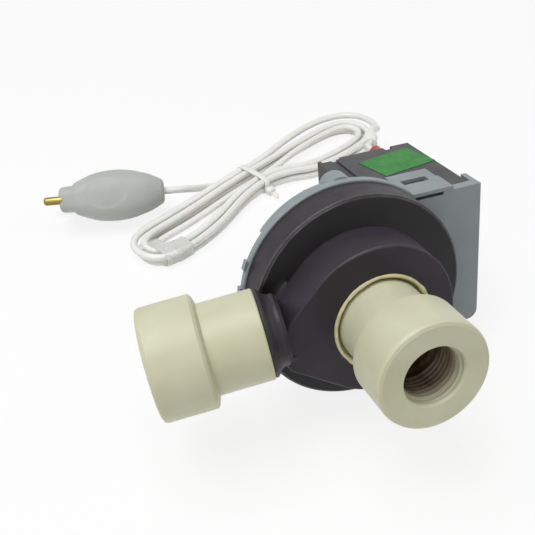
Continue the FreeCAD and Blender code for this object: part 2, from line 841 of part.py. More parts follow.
# Stator cover: a box over both coils and the yoke, open to the front, with openings
# for the legs, a lower strip with a rim on its left, notches in its back edge and feet
def make_cover():
    outer = box("cover_outside", ("motor_left", "0 - motor_half", "0 - motor_back"),
                ("motor_right", "motor_half", "0 - motor_front"))
    feet = []
    for number, left in enumerate(("cover_step", "motor_right - foot_width - 3"), 1):
        feet.append(box(f"cover_foot_{number}", (left, "0 - ear_bottom", "0 - motor_back"),
                        (f"{left} + foot_width", "1 - motor_half",
                         f"{rim_back} - tray_depth - 1")))
    whole = joined("cover_joined", [outer] + feet)
    inside = box("cover_inside", ("motor_left + cover_wall", "cover_wall - motor_half",
                                  "cover_wall - motor_back"),
                 ("motor_right - cover_wall", "motor_half - cover_wall", "1 - motor_front"))
    strip = box("cover_strip", ("motor_left + 1.4", "motor_half - cover_drop + 0.4", "0 - motor_back - 1"),
                ("cover_step", "motor_half + 1", "1 - motor_front"))
    can = rod("can_opening", "can_radius + 0.3", "can_length + 0.3", ("0", "0", f"{rim_back} - can_length - 0.3"))
    cuts = [inside, strip, can]
    for which, low, high in (("upper", "leg_inner - 0.3", "leg_outer + 0.3"),
                             ("lower", "0 - leg_outer - 0.3", "0.3 - leg_inner")):
        cuts.append(box(f"leg_opening_{which}", ("motor_left - 1", low, "0 - core_front - core_stack - 0.3"),
                        ("motor_left + 3", high, "1 - motor_front")))
    for number, (left, deep) in enumerate((("cover_step - 1.5", "1.6"), ("cover_step + 21.6", "2.6")), 1):
        cuts.append(box(f"back_notch_{number}", (left, "motor_half - cover_wall - 3", "0 - motor_back - 1"),
                        (f"{left} + 3.3", "motor_half + 1", f"{deep} - motor_back")))
    for number, high in enumerate(("terminal_high", "terminal_low"), 1):
        cuts.append(box(f"terminal_opening_{number}",
                        ("terminal_x - 2.6", f"{high} - 0.6", "0 - motor_back - 1"),
                        ("terminal_x + 2.6", f"{high} + 0.6", "cover_wall - motor_back + 1")))
    return cut_from("stator_cover", whole, joined("cover_cuts", cuts))


pump_nodes.append(make_cover())


# Bare label plate on top of the cover, a little askew
def make_label():
    plate = doc.addObject("Part::Box", "rating_label")
    plate.Label = "rating_label"
    bind(plate, "Length", "label_length")
    bind(plate, "Width", "label_width")
    bind(plate, "Height", "label_thick")
    middle = Vector(amount("motor_right") - 13.4, amount("motor_half") + 0.02, -amount("motor_back") + 16.4)
    lie = Rotation(Vector(1, 0, 0), -90)
    turn = Rotation(Vector(0, 1, 0), amount("label_turn"))
    corner = Vector(-amount("label_length") / 2, -amount("label_width") / 2, 0)
    plate.Placement = Placement(middle, turn.multiply(lie)).multiply(Placement(corner, Rotation()))
    return plate


pump_nodes.append(make_label())


# Spade terminals through the cover's back wall, their sleeves and the two wires
def make_terminals():
    tabs = []
    sleeves = []
    for number, high in enumerate(("terminal_high", "terminal_low"), 1):
        tabs.append(box(f"tab_{number}", ("terminal_x - 2.4", f"{high} - 0.4", "0 - motor_back - tab_length"),
                        ("terminal_x + 2.4", f"{high} + 0.4", "cover_wall - motor_back + 0.9")))
        shell = rod(f"sleeve_shell_{number}", "sleeve_radius", "sleeve_length",
                    ("terminal_x", high, "0 - motor_back - 0.3 - sleeve_length"))
        hollow = box(f"sleeve_slot_{number}", ("terminal_x - 2.45", f"{high} - 0.45",
                                               "0 - motor_back - tab_length - 0.1"),
                     ("terminal_x + 2.45", f"{high} + 0.45", "0 - motor_back"))
        bore = rod(f"sleeve_bore_{number}", "wire_radius + 0.05", "sleeve_length",
                   ("terminal_x", high, "0 - motor_back - 1 - sleeve_length"))
        hollows = joined(f"sleeve_hollow_{number}", [hollow, bore])
        sleeves.append(cut_from(f"sleeve_{number}", shell, hollows))
    tab_pair = doc.addObject("Part::Compound", "terminal_tabs")
    tab_pair.Label = "terminal_tabs"
    tab_pair.Links = tabs
    sleeve_pair = doc.addObject("Part::Compound", "terminal_sleeves")
    sleeve_pair.Label = "terminal_sleeves"
    sleeve_pair.Links = sleeves
    return [tab_pair, sleeve_pair]


pump_nodes.extend(make_terminals())


# Bearing carrier in the can's mouth, two bushes in rubber cushions, and two washers
def make_bearings():
    made = []
    carrier = new_body("bearing_carrier")
    register = register_front
    turned(carrier, "carrier_turning", [
        ("cushion_radius + running_fit", f"{register} + carrier_plate"),
        ("cushion_radius + running_fit", f"{register} - carrier_depth"),
        ("can_radius - can_wall - 0.03", f"{register} - carrier_depth"),
        ("can_radius - can_wall - 0.03", f"{register} + 0.02"),
        ("carrier_flange", f"{register} + 0.02"),
        ("carrier_flange", f"{register} + carrier_plate - 0.5"),
        ("carrier_flange - 0.5", f"{register} + carrier_plate"),
    ])
    made.append(carrier)
    pocket_back = f"{rim_back} - can_length + can_floor"
    places = (("front", f"{register} - carrier_depth + 1.2"), ("rear", f"{pocket_back} + 0.1"))
    for which, start in places:
        bush = new_body(f"{which}_bearing")
        turned(bush, f"{which}_bush", [
            ("shaft_radius + running_fit", start),
            ("bearing_radius", start),
            ("bearing_radius", f"{start} + bearing_length"),
            ("shaft_radius + running_fit", f"{start} + bearing_length"),
        ])
        cushion = new_body(f"{which}_bearing_cushion")
        turned(cushion, f"{which}_cushion_ring", [
            ("bearing_radius + 0.02", start),
            ("cushion_radius", start),
            ("cushion_radius", f"{start} + bearing_length"),
            ("bearing_radius + 0.02", f"{start} + bearing_length"),
        ])
        made.extend([bush, cushion])
    washers = []
    for number, start in enumerate((f"{places[0][1]} - washer_thick - 0.05",
                                    f"{places[1][1]} + bearing_length + 0.05"), 1):
        plate = rod(f"washer_plate_{number}", "washer_radius", "washer_thick", ("0", "0", start))
        hole = rod(f"washer_hole_{number}", "shaft_radius + running_fit", "washer_thick + 2",
                   ("0", "0", f"{start} - 1"))
        washers.append(cut_from(f"washer_{number}", plate, hole))
    pair = doc.addObject("Part::Compound", "thrust_washers")
    pair.Label = "thrust_washers"
    pair.Links = washers
    made.append(pair)
    lip = new_body("shaft_seal")
    turned(lip, "lip_turning", [
        ("shaft_radius + running_fit", f"{register} - 2"),
        ("lip_radius", f"{register} - 2"),
        ("lip_radius", f"{register} + lip_height"),
        ("lip_radius - 1.2", f"{register} + lip_height"),
        ("shaft_radius + 1.2", f"{register} + lip_height - 1.4"),
        ("shaft_radius + running_fit", f"{register} + lip_height - 1"),
    ])
    made.append(lip)
    return made


pump_nodes.extend(make_bearings())


# Rotor: shaft, moulded hub, magnet ring and the driver that pushes the impeller
def make_rotor():
    shaft = new_body("rotor_shaft")
    sketch = new_sketch(shaft, "shaft_circle", offset=raised("0 - shaft_back"))
    circle(sketch, "shaft_radius")
    pad(shaft, "shaft_bar", sketch, "shaft_back + shaft_front")
    front = "0 - magnet_front"
    back = "0 - magnet_front - magnet_length"
    hub_front = f"{register_front} - carrier_depth + 1.15 - washer_thick - end_play"
    hub_back = f"{rim_back} - can_length + can_floor + 0.15 + bearing_length + washer_thick + end_play"
    hub = new_body("rotor_hub")
    turned(hub, "hub_turning", [
        ("shaft_radius", hub_front),
        ("shaft_radius", hub_back),
        ("washer_radius", hub_back),
        ("washer_radius", f"{back} - 0.6"),
        ("hub_radius + hub_collar", f"{back} - 0.6"),
        ("hub_radius + hub_collar", back),
        ("hub_radius", back),
        ("hub_radius", front),
        ("hub_radius + hub_collar", front),
        ("hub_radius + hub_collar", f"{front} + 0.6"),
        ("washer_radius", f"{front} + 0.6"),
        ("washer_radius", hub_front),
    ])
    magnet = new_body("rotor_magnet")
    turned(magnet, "magnet_turning", [
        ("hub_radius + 0.02", f"{front} - 0.02"),
        ("hub_radius + 0.02", f"{back} + 0.02"),
        ("magnet_radius", f"{back} + 0.02"),
        ("magnet_radius", f"{front} - 0.02"),
    ])
    floor = "impeller_back + driver_gap"
    ring = rod("driver_ring", "driver_hub", "drive_depth - driver_gap - driver_gap", ("0", "0", floor))
    key = box("driver_key", ("0", "0 - dog_width + 1.5", floor),
              ("drive_pocket - drive_clearance", "dog_width - 1.5", "impeller_back + drive_depth - driver_gap"))
    bore = rod("driver_bore", "shaft_radius", "drive_depth + 4", ("0", "0", f"{floor} - 1"))
    driver = cut_from("rotor_driver", joined("driver_solid", [ring, key]), bore)
    return [shaft, hub, magnet, driver]


pump_nodes.extend(make_rotor())


# Impeller: disc, hub with the drive pocket and its dog, six bowed blades, cap
def make_impeller():
    body = new_body("impeller")
    turned(body, "impeller_turning", [
        ("drive_pocket", "impeller_back"),
        ("impeller_radius", "impeller_back"),
        ("impeller_radius", "impeller_back + impeller_disc"),
        ("impeller_hub + 1", "impeller_back + impeller_disc"),
        ("impeller_hub", "impeller_back + impeller_disc + 1"),
        ("impeller_hub", "impeller_front - 2.5"),
        ("impeller_hub - 2.5", "impeller_front"),
        ("shaft_radius + running_fit", "impeller_front"),
        ("shaft_radius + running_fit", "impeller_back + drive_depth"),
        ("drive_pocket", "impeller_back + drive_depth"),
    ])
    blade = new_sketch(body, "blade_sketch", offset=raised("impeller_back + impeller_disc - 0.2"))
    inner = amount("impeller_hub") - 1.2
    outer = amount("impeller_radius") - 0.2
    bow = amount("blade_bow")
    wall = amount("blade_wall")
    middle = Vector((inner + outer) / 2, -math.sqrt(bow ** 2 - ((outer - inner) / 2) ** 2), 0)
    up = Vector(0, 0, 1)
    half = math.asin((outer - inner) / 2 / bow)
    out_arc = Part.ArcOfCircle(Part.Circle(middle, up, bow + wall / 2), math.pi / 2 - half, math.pi / 2 + half)
    in_arc = Part.ArcOfCircle(Part.Circle(middle, up, bow - wall / 2), math.pi / 2 - half, math.pi / 2 + half)
    chain(blade, [
        out_arc,
        Part.LineSegment(out_arc.EndPoint, in_arc.EndPoint),
        in_arc,
        Part.LineSegment(in_arc.StartPoint, out_arc.StartPoint),
    ])
    one = pad(body, "blade", blade, "impeller_front - impeller_back - impeller_disc - 1")
    around = body.newObject("PartDesign::PolarPattern", "blades")
    around.Originals = [one]
    around.Axis = (blade, ["N_Axis"])
    around.Angle = 360.0
    around.Occurrences = int(amount("blade_count"))
    body.Tip = around
    dog = new_sketch(body, "dog_sketch", offset=Placement(
        Vector(0, 0, amount("impeller_back")), Rotation(Vector(0, 0, 1), amount("dog_turn"))))
    polygon(dog, [
        ("driver_hub + drive_clearance", "0 - dog_width + 1.5"),
        ("impeller_hub - 0.5", "0 - dog_width + 1.5"),
        ("impeller_hub - 0.5", "dog_width - 1.5"),
        ("driver_hub + drive_clearance", "dog_width - 1.5"),
    ])
    pad(body, "impeller_dog", dog, "drive_depth + 0.3")
    cap = new_body("impeller_cap")
    cap_back = "impeller_front + 0.1"
    turned(cap, "cap_turning", [
        ("shaft_radius", cap_back),
        ("cap_radius", cap_back),
        ("cap_radius", f"{cap_back} + cap_height - 0.6"),
        ("cap_radius - 0.8", f"{cap_back} + cap_height"),
        ("0", f"{cap_back} + cap_height"),
        ("0", "shaft_front + 0.02"),
        ("shaft_radius", "shaft_front + 0.02"),
    ])
    return [body, cap]


pump_nodes.extend(make_impeller())

doc.recompute()


# Rest: the rim's back edge and the feet's back ends touch the table
def resting_placement():
    rise = amount("rim_radius - ear_bottom")
    run = amount("motor_back") + amount(rim_back)
    tilt = math.atan2(rise, run)
    stand = Rotation(Vector(1, 0, 0), 90 - math.degrees(tilt))
    lift = amount("rim_radius") * math.cos(tilt) - amount(rim_back) * math.sin(tilt)
    leaned = Part.makeCompound([node.Shape for node in pump_nodes])
    leaned.Placement = Placement(Vector(), stand)
    reach = leaned.optimalBoundingBox(False, False)
    return Placement(Vector(-reach.Center.x, -reach.Center.y, lift), stand)


rest = resting_placement()
for node in pump_nodes:
    node.Placement = rest.multiply(node.Placement)

# Tubes: straight runs joined by arcs as large as the two runs allow
def rounded_route(points):
    """Edges and arc radii of a route through hand-chosen points."""
    spots = [Vector(*point) for point in points]
    edges = []
    radii = []
    at = spots[0]
    for before, corner, after in zip(spots, spots[1:], spots[2:]):
        back = before - corner
        on = after - corner
        reach = 0.45 * min(back.Length, on.Length)
        back.normalize()
        on.normalize()
        half = (math.pi - back.getAngle(on)) / 2
        radii.append(reach / math.tan(half))
        entry = corner + back * reach
        leave = corner + on * reach
        inward = (back + on).normalize()
        deep = corner + inward * (radii[-1] / math.cos(half) - radii[-1])
        edges.append(Part.LineSegment(at, entry).toShape())
        edges.append(Part.Arc(entry, deep, leave).toShape())
        at = leave
    edges.append(Part.LineSegment(at, spots[-1]).toShape())
    return edges, radii


def swept(edges, radius):
    """A round bar along joined edges."""
    path = Part.Wire(edges)
    start = edges[0].valueAt(edges[0].FirstParameter)
    way = edges[0].tangentAt(edges[0].FirstParameter)
    ring = Part.Wire([Part.Circle(start, way, radius).toShape()])
    bar = path.makePipeShell([ring], True, False)
    expected = math.pi * radius ** 2 * path.Length
    print(f"  length {path.Length:7.1f}  volume {bar.Volume:8.1f}  section x length {expected:8.1f}")
    return bar


def shaped(name, shape):
    thing = doc.addObject("Part::Feature", name)
    thing.Label = name
    thing.Shape = shape
    return thing


def free_tube(name, points, radius):
    edges, radii = rounded_route(points)
    print(f"{name}: arc radii " + " ".join(f"{bend:.1f}" for bend in radii))
    return shaped(name, swept(edges, radius))


# Two short wires from the sleeves, and the boot where the cord's jacket starts. The
# boot's own z runs from the cord back to the wires.
def boot_placement():
    middle = (amount("terminal_high") + amount("terminal_low")) / 2
    face = Vector(amount("terminal_x") + 4.8, middle + 1.3, -amount("motor_back") - amount("sleeve_length") - 9.0)
    way = Vector(0.45, -0.05, -0.89).normalize()
    return Placement(face + way * amount("boot_length"), Rotation(Vector(0, 0, 1), way * -1))


def make_lead_start():
    tab_end = -amount("motor_back") - amount("tab_length") - 0.2
    sleeve_end = -amount("motor_back") - 0.3 - amount("sleeve_length")
    across = amount("terminal_x")
    seat = boot_placement()
    spread = amount("wire_radius") + 0.15
    wires = []
    for high, side in ((amount("terminal_high"), spread), (amount("terminal_low"), -spread)):
        edges, _ = rounded_route([
            (across, high, tab_end),
            (across, high, sleeve_end - 2.5),
            seat.multVec(Vector(0, side, amount("boot_length") + 2.5)),
            seat.multVec(Vector(0, side, amount("boot_length") - 1.0)),
        ])
        wires.append(swept(edges, amount("wire_radius")))
    pair = shaped("lead_wires", Part.makeCompound(wires))
    body = rod("boot_body", "boot_radius", "boot_length")
    holes = [rod(f"boot_hole_{number}", "wire_radius + 0.05", "1.05", ("0", words, "boot_length - 1.05"))
             for number, words in enumerate(("wire_radius + 0.15", "0 - wire_radius - 0.15"), 1)]
    boot = cut_from("lead_boot", body, joined("boot_holes", holes))
    boot.Placement = seat
    return [pair, boot]


for node in make_lead_start():
    node.Placement = rest.multiply(node.Placement)
    cord_nodes.append(node)


# Hank: two layers of loops, drawn in at the waist. It runs clockwise seen from above,
# starts on the table, spirals in, climbs a layer along a run and spirals out again.
hank_origin = Placement(Vector(24.5, 122.4, 0), Rotation(Vector(0, 0, 1), amount("hank_heading")))


def hank_station(turn):
    """Place and heading at one of the eight stations of a turn."""
    lanes_in = min(turn, amount("hank_turns") - turn)
    inset = lanes_in * amount("lane")
    upper = turn > amount("hank_turns") / 2 + 0.01
    rise = amount("cord_radius") + 0.05 + (amount("layer") if upper else 0.0)
    half = amount("hank_half") - inset
    waist = amount("waist_half") - lanes_in * amount("waist_lane")
    reach = amount("hank_reach") - inset
    bulge = amount("hank_bulge")
    left = amount("left_bulge")
    left_half = amount("left_half") - inset
    drop = amount("left_drop")
    lifted = rise + amount("waist_lift")
    station = round(turn * 8) % 8
    return [
        (Vector(0, amount("waist_shift") + waist, lifted), Vector(1, 0, 0)),
        (Vector(bulge, half, rise), Vector(1, 0, 0)),
        (Vector(reach, 0, rise), Vector(0, -1, 0)),
        (Vector(bulge, -half, rise), Vector(-1, 0, 0)),
        (Vector(0, amount("waist_shift") - waist, lifted), Vector(-1, 0, 0)),
        (Vector(-left, -drop - left_half, rise), Vector(-1, 0, 0)),
        (Vector(-reach, -drop, rise), Vector(0, 1, 0)),
        (Vector(-left, left_half - drop, rise), Vector(1, 0, 0)),
    ][station]


def biarc(start, start_way, end, end_way):
    """Two arcs that leave and arrive along the given ways."""
    step = end - start
    ways = start_way + end_way
    square = 2 * (1 - start_way.dot(end_way))
    if square < 1e-9:
        reach = step.dot(step) / (4 * step.dot(start_way))
    else:
        along = step.dot(ways)
        reach = (math.sqrt(along ** 2 + square * step.dot(step)) - along) / square
    middle = (start + end + (start_way - end_way) * reach) * 0.5
    arcs = []
    for at, way, goal in ((start, start_way, middle), (end, end_way * -1, middle)):
        chord = goal - at
        sideways = chord - way * chord.dot(way)
        radius = chord.dot(chord) / (2 * sideways.Length)
        centre = at + sideways.normalize() * radius
        bend = ((at + goal) * 0.5 - centre).normalize()
        arcs.append((Part.Arc(at, centre + bend * radius, goal), radius))
    (first, one), (last, two) = arcs
    last = Part.Arc(middle, last.value((last.FirstParameter + last.LastParameter) / 2), end)
    return [first.toShape(), last.toShape()], [one, two]


def make_hank():
    lead_in = 2 * amount("cord_radius")
    count = round(amount("hank_turns") * 8)
    stations = [hank_station(number / 8) for number in range(count + 1)]
    (first, way), (last, last_way) = stations[0], stations[-1]
    edges = [Part.LineSegment(first - way * lead_in, first).toShape()]
    radii = []
    for (at, heading), (goal, arrival) in zip(stations, stations[1:]):
        arcs, sizes = biarc(at, heading, goal, arrival)
        edges.extend(arcs)
        radii.extend(sizes)
    edges.append(Part.LineSegment(last, last + last_way * lead_in).toShape())
    print(f"cord_hank: smallest arc radius {min(radii):.1f}")
    hank = shaped("cord_hank", swept(edges, amount("cord_radius")))
    hank.Placement = hank_origin
    spots = []
    travelled = 0.0
    for edge in edges:
        for number in range(6):
            share = number / 6
            spots.append((travelled + share * edge.Length, edge.valueAt(
                edge.FirstParameter + share * (edge.LastParameter - edge.FirstParameter))))
        travelled += edge.Length
    least = min(one.distanceToPoint(other) for place, (far, one) in enumerate(spots)
                for later, other in spots[place + 1:] if later - far > 40)
    print(f"cord_hank: least gap to itself {least - 2 * amount('cord_radius'):.2f}")
    return hank, hank_origin.multVec(first - way * lead_in), hank_origin.multVec(last + last_way * lead_in)


hank, hank_start, hank_end = make_hank()
cord_nodes.append(hank)
hank_way = hank_origin.Rotation.multVec(Vector(1, 0, 0))


# Tie: a band round the waist, with its head and a short tail on the near side
def make_tie():
    radius = amount("cord_radius")
    gap = amount("tie_gap")
    thick = amount("tie_thick")
    width = amount("tie_width")
    low_n = amount("waist_shift") - amount("waist_half") + 0.5 * amount("waist_lane") - radius - gap
    high_n = amount("waist_shift") + amount("waist_half") + radius + gap
    low_z = amount("waist_lift") + 0.05 - gap
    high_z = amount("waist_lift") + 0.05 + 2 * radius + amount("layer") + gap

    def ring(grow, corner):
        return rounded_block((-width / 2, low_n - grow, low_z - grow),
                             (width / 2, high_n + grow, high_z + grow), corner)

    band = ring(thick, radius + thick).cut(ring(0.0, radius))
    head = Part.makeBox(5.0, 4.2, 4.4, Vector(-2.5, low_n - thick - 4.15, 1.2))
    tail = Part.makeBox(2.2, 6.0, 0.8, Vector(0, 0, 0))
    tail.Placement = Placement(Vector(0.6, low_n - thick - 9.8, 1.6), Rotation(Vector(0, 0, 1), -8))
    tie = shaped("cable_tie", band.fuse([head, tail]))
    tie.Placement = hank_origin
    return tie


def rounded_block(low, high, corner):
    """A block along x whose four long edges are rounded."""
    block = Part.makeBox(*(high[axis] - low[axis] for axis in range(3)), Vector(*low))
    long_edges = [edge for edge in block.Edges if abs(edge.tangentAt(edge.FirstParameter).x) > 0.99]
    return block.makeFillet(corner, long_edges)


cord_nodes.append(make_tie())


# Plug: a lofted grip with a flat nose, two round pins and a recess where the cord enters.
# Its z runs from the cord's end to the pins and its x across both pins.
plug_rear = Vector(-25.03, 120.65, 13.9)
plug_way = Vector(-48.5, 10.5, 0).normalize()


def rounded_section(width, height, corner, along):
    """A closed outline across the plug, of four sides and four quarter arcs."""
    across = width / 2
    up = height / 2
    slant = corner * (1 - math.sqrt(0.5))
    turns = []
    for side, rise in ((1, 1), (-1, 1), (-1, -1), (1, -1)):
        near_side = Vector(side * across, rise * (up - corner), along)
        near_top = Vector(side * (across - corner), rise * up, along)
        deep = Vector(side * (across - slant), rise * (up - slant), along)
        turns.append((near_side, deep, near_top) if side * rise > 0 else (near_top, deep, near_side))
    edges = []
    for (start, deep, end), (after, _, _) in zip(turns, turns[1:] + turns[:1]):
        edges.append(Part.Arc(start, deep, end).toShape())
        edges.append(Part.LineSegment(end, after).toShape())
    return Part.Wire(edges)


def make_plug():
    length = amount("plug_length")
    wide = amount("plug_width")
    tall = amount("plug_height")
    nose = amount("nose_height")
    grip = Part.makeLoft([
        rounded_section(0.5 * wide, 0.4 * tall, 4.0, 0.0),
        rounded_section(0.72 * wide, 0.6 * tall, 6.0, 0.08 * length),
        rounded_section(0.9 * wide, 0.82 * tall, 8.5, 0.28 * length),
        rounded_section(wide, tall, 9.0, 0.56 * length),
        rounded_section(wide, 0.94 * tall, 8.5, 0.8 * length),
        rounded_section(wide, 0.8 * tall, 7.0, 0.95 * length),
        rounded_section(0.98 * wide, 0.68 * tall, 5.5, length),
    ], True, False)
    collar = Part.makeLoft([
        rounded_section(wide, nose, 4.5, length - 0.5),
        rounded_section(wide, nose, 4.5, length + amount("plug_nose") - 2.0),
        rounded_section(wide - 3.0, nose - 4.0, 3.0, length + amount("plug_nose")),
    ], True, True)
    body = grip.fuse(collar)
    cord = amount("cord_radius")
    entry = Part.makeCylinder(cord + 1.6, 2.4, Vector(0, 0, -0.1))
    dish = Part.makeSphere(30.0, Vector(0, tall / 2 + 28.6, 0.5 * length))
    body = body.cut(entry).cut(dish)
    face = length + amount("plug_nose")
    pins = []
    for side in (-1, 1):
        at = Vector(side * amount("pin_spacing") / 2, 0, face - amount("pin_seat"))
        reach = amount("pin_seat + pin_reach")
        body = body.cut(Part.makeCylinder(amount("pin_radius") + 0.02, reach, at))
        pin = Part.makeCylinder(amount("pin_radius"), reach - 0.02, at + Vector(0, 0, 0.02))
        tip = [edge for edge in pin.Edges if edge.Closed and edge.CenterOfMass.z > face]
        pins.append(pin.makeFillet(1.3, tip))
    roll = Rotation(Vector(0, 0, 1), amount("plug_roll"))
    upright = Rotation(Vector(0, 0, 1).cross(plug_way), Vector(0, 0, 1), plug_way, "ZYX")
    seat = Placement(plug_rear, upright.multiply(roll))
    nodes = []
    for name, shape in (("plug_body", body), ("plug_pins", Part.makeCompound(pins))):
        node = shaped(name, shape)
        node.Placement = seat
        nodes.append(node)
    return nodes


cord_nodes.extend(make_plug())


# Free stretches: from the boot to the hank's top layer, and from its foot to the plug
def make_free_cord():
    seat = rest.multiply(boot_placement())
    boot_end = seat.multVec(Vector(0, 0, -0.02))
    boot_way = seat.Rotation.multVec(Vector(0, 0, -1))
    lead = [boot_end, boot_end + boot_way * 14, (80, 112, 29), (90.5, 128, 18), (96, 145.5, 12),
            (94, 158, 9.6), (83.5, 164.5, 8.4), (66.5, 161.8, 7.8), (46, 150.5, 7.3),
            hank_end + hank_way * 10, hank_end + hank_way * 0.02]
    entry = plug_rear + plug_way * 2.28
    tail = [entry, plug_rear - plug_way * 8, (-8.4, 124.6, 8.4), (-1, 131, 3.6),
            hank_start - hank_way * 8, hank_start - hank_way * 0.02]
    return [free_tube("cord_lead", lead, amount("cord_radius")), free_tube("cord_tail", tail, amount("cord_radius"))]


cord_nodes.extend(make_free_cord())

doc.recompute()


# Every object is sound before anything is written
def check_and_write():
    for item in doc.Objects:
        if "Invalid" in item.State or "Error" in item.State:
            raise RuntimeError(f"{item.Name} did not build: {item.State}")
    os.makedirs("parts", exist_ok=True)
    for node in pump_nodes + cord_nodes:
        shape = node.Shape
        if shape.isNull() or not shape.isValid():
            raise RuntimeError(f"{node.Label} has no sound shape")
        shape.exportStep(f"parts/{node.Label}.step")
        print(f"{node.Label:24s} solids {len(shape.Solids)}  volume {shape.Volume:10.1f}")


check_and_write()
print("rest placement", rest)
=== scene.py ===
# %% [markdown]
# A drain pump on a table: two cream pipe adapters cemented to a dark volute casing, a grey
# base with the motor behind it, and a white lead tied in a hank that ends in a round grey
# plug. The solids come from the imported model, so this lesson places nothing twice. It adds
# the camera, the light, the lead with its plug and tie, the threads, the outlet's soft neck,
# the squeezed-out cement and the finishes.

# %% Load the pump
import json
import math
import bmesh
import bpy
from mathutils import Matrix, Vector


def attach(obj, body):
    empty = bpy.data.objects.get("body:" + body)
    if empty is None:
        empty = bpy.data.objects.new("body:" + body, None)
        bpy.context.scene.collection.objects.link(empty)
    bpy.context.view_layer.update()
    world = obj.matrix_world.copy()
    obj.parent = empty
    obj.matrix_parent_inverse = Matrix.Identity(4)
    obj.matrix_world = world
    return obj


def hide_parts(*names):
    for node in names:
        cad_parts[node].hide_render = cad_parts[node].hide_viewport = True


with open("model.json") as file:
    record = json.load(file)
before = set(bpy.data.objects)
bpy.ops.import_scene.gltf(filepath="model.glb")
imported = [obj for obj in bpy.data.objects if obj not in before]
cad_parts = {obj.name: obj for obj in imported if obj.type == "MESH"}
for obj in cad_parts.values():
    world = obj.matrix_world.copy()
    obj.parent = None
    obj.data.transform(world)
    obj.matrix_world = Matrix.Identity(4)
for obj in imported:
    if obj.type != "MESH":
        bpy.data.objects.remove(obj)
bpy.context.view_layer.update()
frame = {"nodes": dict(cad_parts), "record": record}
nodes = frame["nodes"]
record = frame["record"]
scene = bpy.context.scene
scene.view_settings.view_transform = "Standard"

# %% [markdown]
# The camera comes first, because everything is judged through it. The picture was taken
# from above and a little to the left of the inlet, from about a forearm's length away, so
# the adapters near the lens look large and the lead behind them small. A camera can be
# aimed by angles or at a target. Three axis vectors are used here: they say exactly which
# way is right, up and back, and also hold the small roll of a hand-held shot.

# %% Camera
lens_place = Vector((-0.095863, -0.219565, 0.247337))
lens_right = Vector((0.936712, -0.349752, -0.015636))
lens_up = Vector((0.232978, 0.589384, 0.773530))
lens_back = lens_right.cross(lens_up)

camera_data = bpy.data.cameras.new("bench_camera")
camera_data.lens = 58.73
camera_data.sensor_width = 36.0
camera = bpy.data.objects.new("bench_camera", camera_data)
scene.collection.objects.link(camera)
turn = Matrix((lens_right, lens_up, lens_back)).transposed().to_4x4()
camera.matrix_world = Matrix.Translation(lens_place) @ turn
scene.camera = camera
print("camera at", tuple(round(value, 3) for value in lens_place), "lens", camera_data.lens)

# %% [markdown]
# The lead is one white flex about one and a half metres long. It leaves a small boot behind
# the motor, drops to the table, goes four times round a hank that a cable tie draws in at
# its waist, and runs out to the plug. A flex is a line before it is a solid, so it is a
# curve with a round bevel. A NURBS spline of order three leans on its control points
# without touching them, and that gives the lazy bends of real flex from few points.

# %% Millimetres to metres, and a place to keep new objects
MM = 0.001


def keep(name, data, body="pump"):
    """Link a new object and let it ride on a body."""
    thing = bpy.data.objects.new(name, data)
    scene.collection.objects.link(thing)
    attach(thing, body)
    return thing


# %% [markdown]
# A hank is easier to draw in its own flat frame: its long way is x, and each turn is an
# oval pinched at the middle. The turns lie beside each other in lanes, two lanes inwards on
# the table and two back outwards on top. Each turn takes twelve control points. They are
# given as corners that the flex rounds, and the lane a corner lies in follows from how far
# along the winding it comes.

# %% Points of the hank
flex_radius = 1.7
table_gap = 0.05
waist_rise = 1.0
lane, waist_lane, layer = 4.5, 3.9, 3.9
turns = 4
top_layer_from = turns / 2 + 0.05
hank_middle = Vector((24.5, 122.4, 0.0))
hank_heading = math.radians(24.8)
CORNERS = [
    # share of a turn, x, y, how the corner moves in for each lane (x, y)
    (-0.04, -11.4, 13.6, 0.0, -waist_lane),
    (0.04, 11.4, 13.6, 0.0, -waist_lane),
    (0.10, 31.2, 16.2, 0.0, -lane),
    (0.18, 78.8, 16.2, -lane, -lane),
    (0.32, 78.8, -16.2, -lane, lane),
    (0.40, 31.2, -16.2, 0.0, lane),
    (0.46, 11.4, -4.0, 0.0, waist_lane),
    (0.54, -11.4, -4.0, 0.0, waist_lane),
    (0.60, -43.2, -15.1, 0.0, lane),
    (0.68, -78.8, -15.1, lane, lane),
    (0.82, -78.8, 12.1, lane, -lane),
    (0.90, -43.2, 12.1, 0.0, -lane),
]
WAIST_CORNERS = (0, 1, 6, 7)


def hank_corner(number, turn_number):
    share, x, y, in_x, in_y = CORNERS[number]
    along = turn_number + share
    lanes_in = min(along, turns - along)
    high = flex_radius + table_gap + (layer if along > top_layer_from else 0.0)
    lift = waist_rise if number in WAIST_CORNERS else 0.0
    return Vector((x + in_x * lanes_in, y + in_y * lanes_in, high + lift))


def on_table(spot):
    """From the hank's own frame to the table."""
    return Matrix.Rotation(hank_heading, 3, "Z") @ spot + hank_middle


hank_points = []
for turn_number in range(turns + 1):
    for number in range(len(CORNERS)):
        along = turn_number + CORNERS[number][0]
        if 0 < along < turns:
            hank_points.append(on_table(hank_corner(number, turn_number)))
print("hank control points:", len(hank_points))
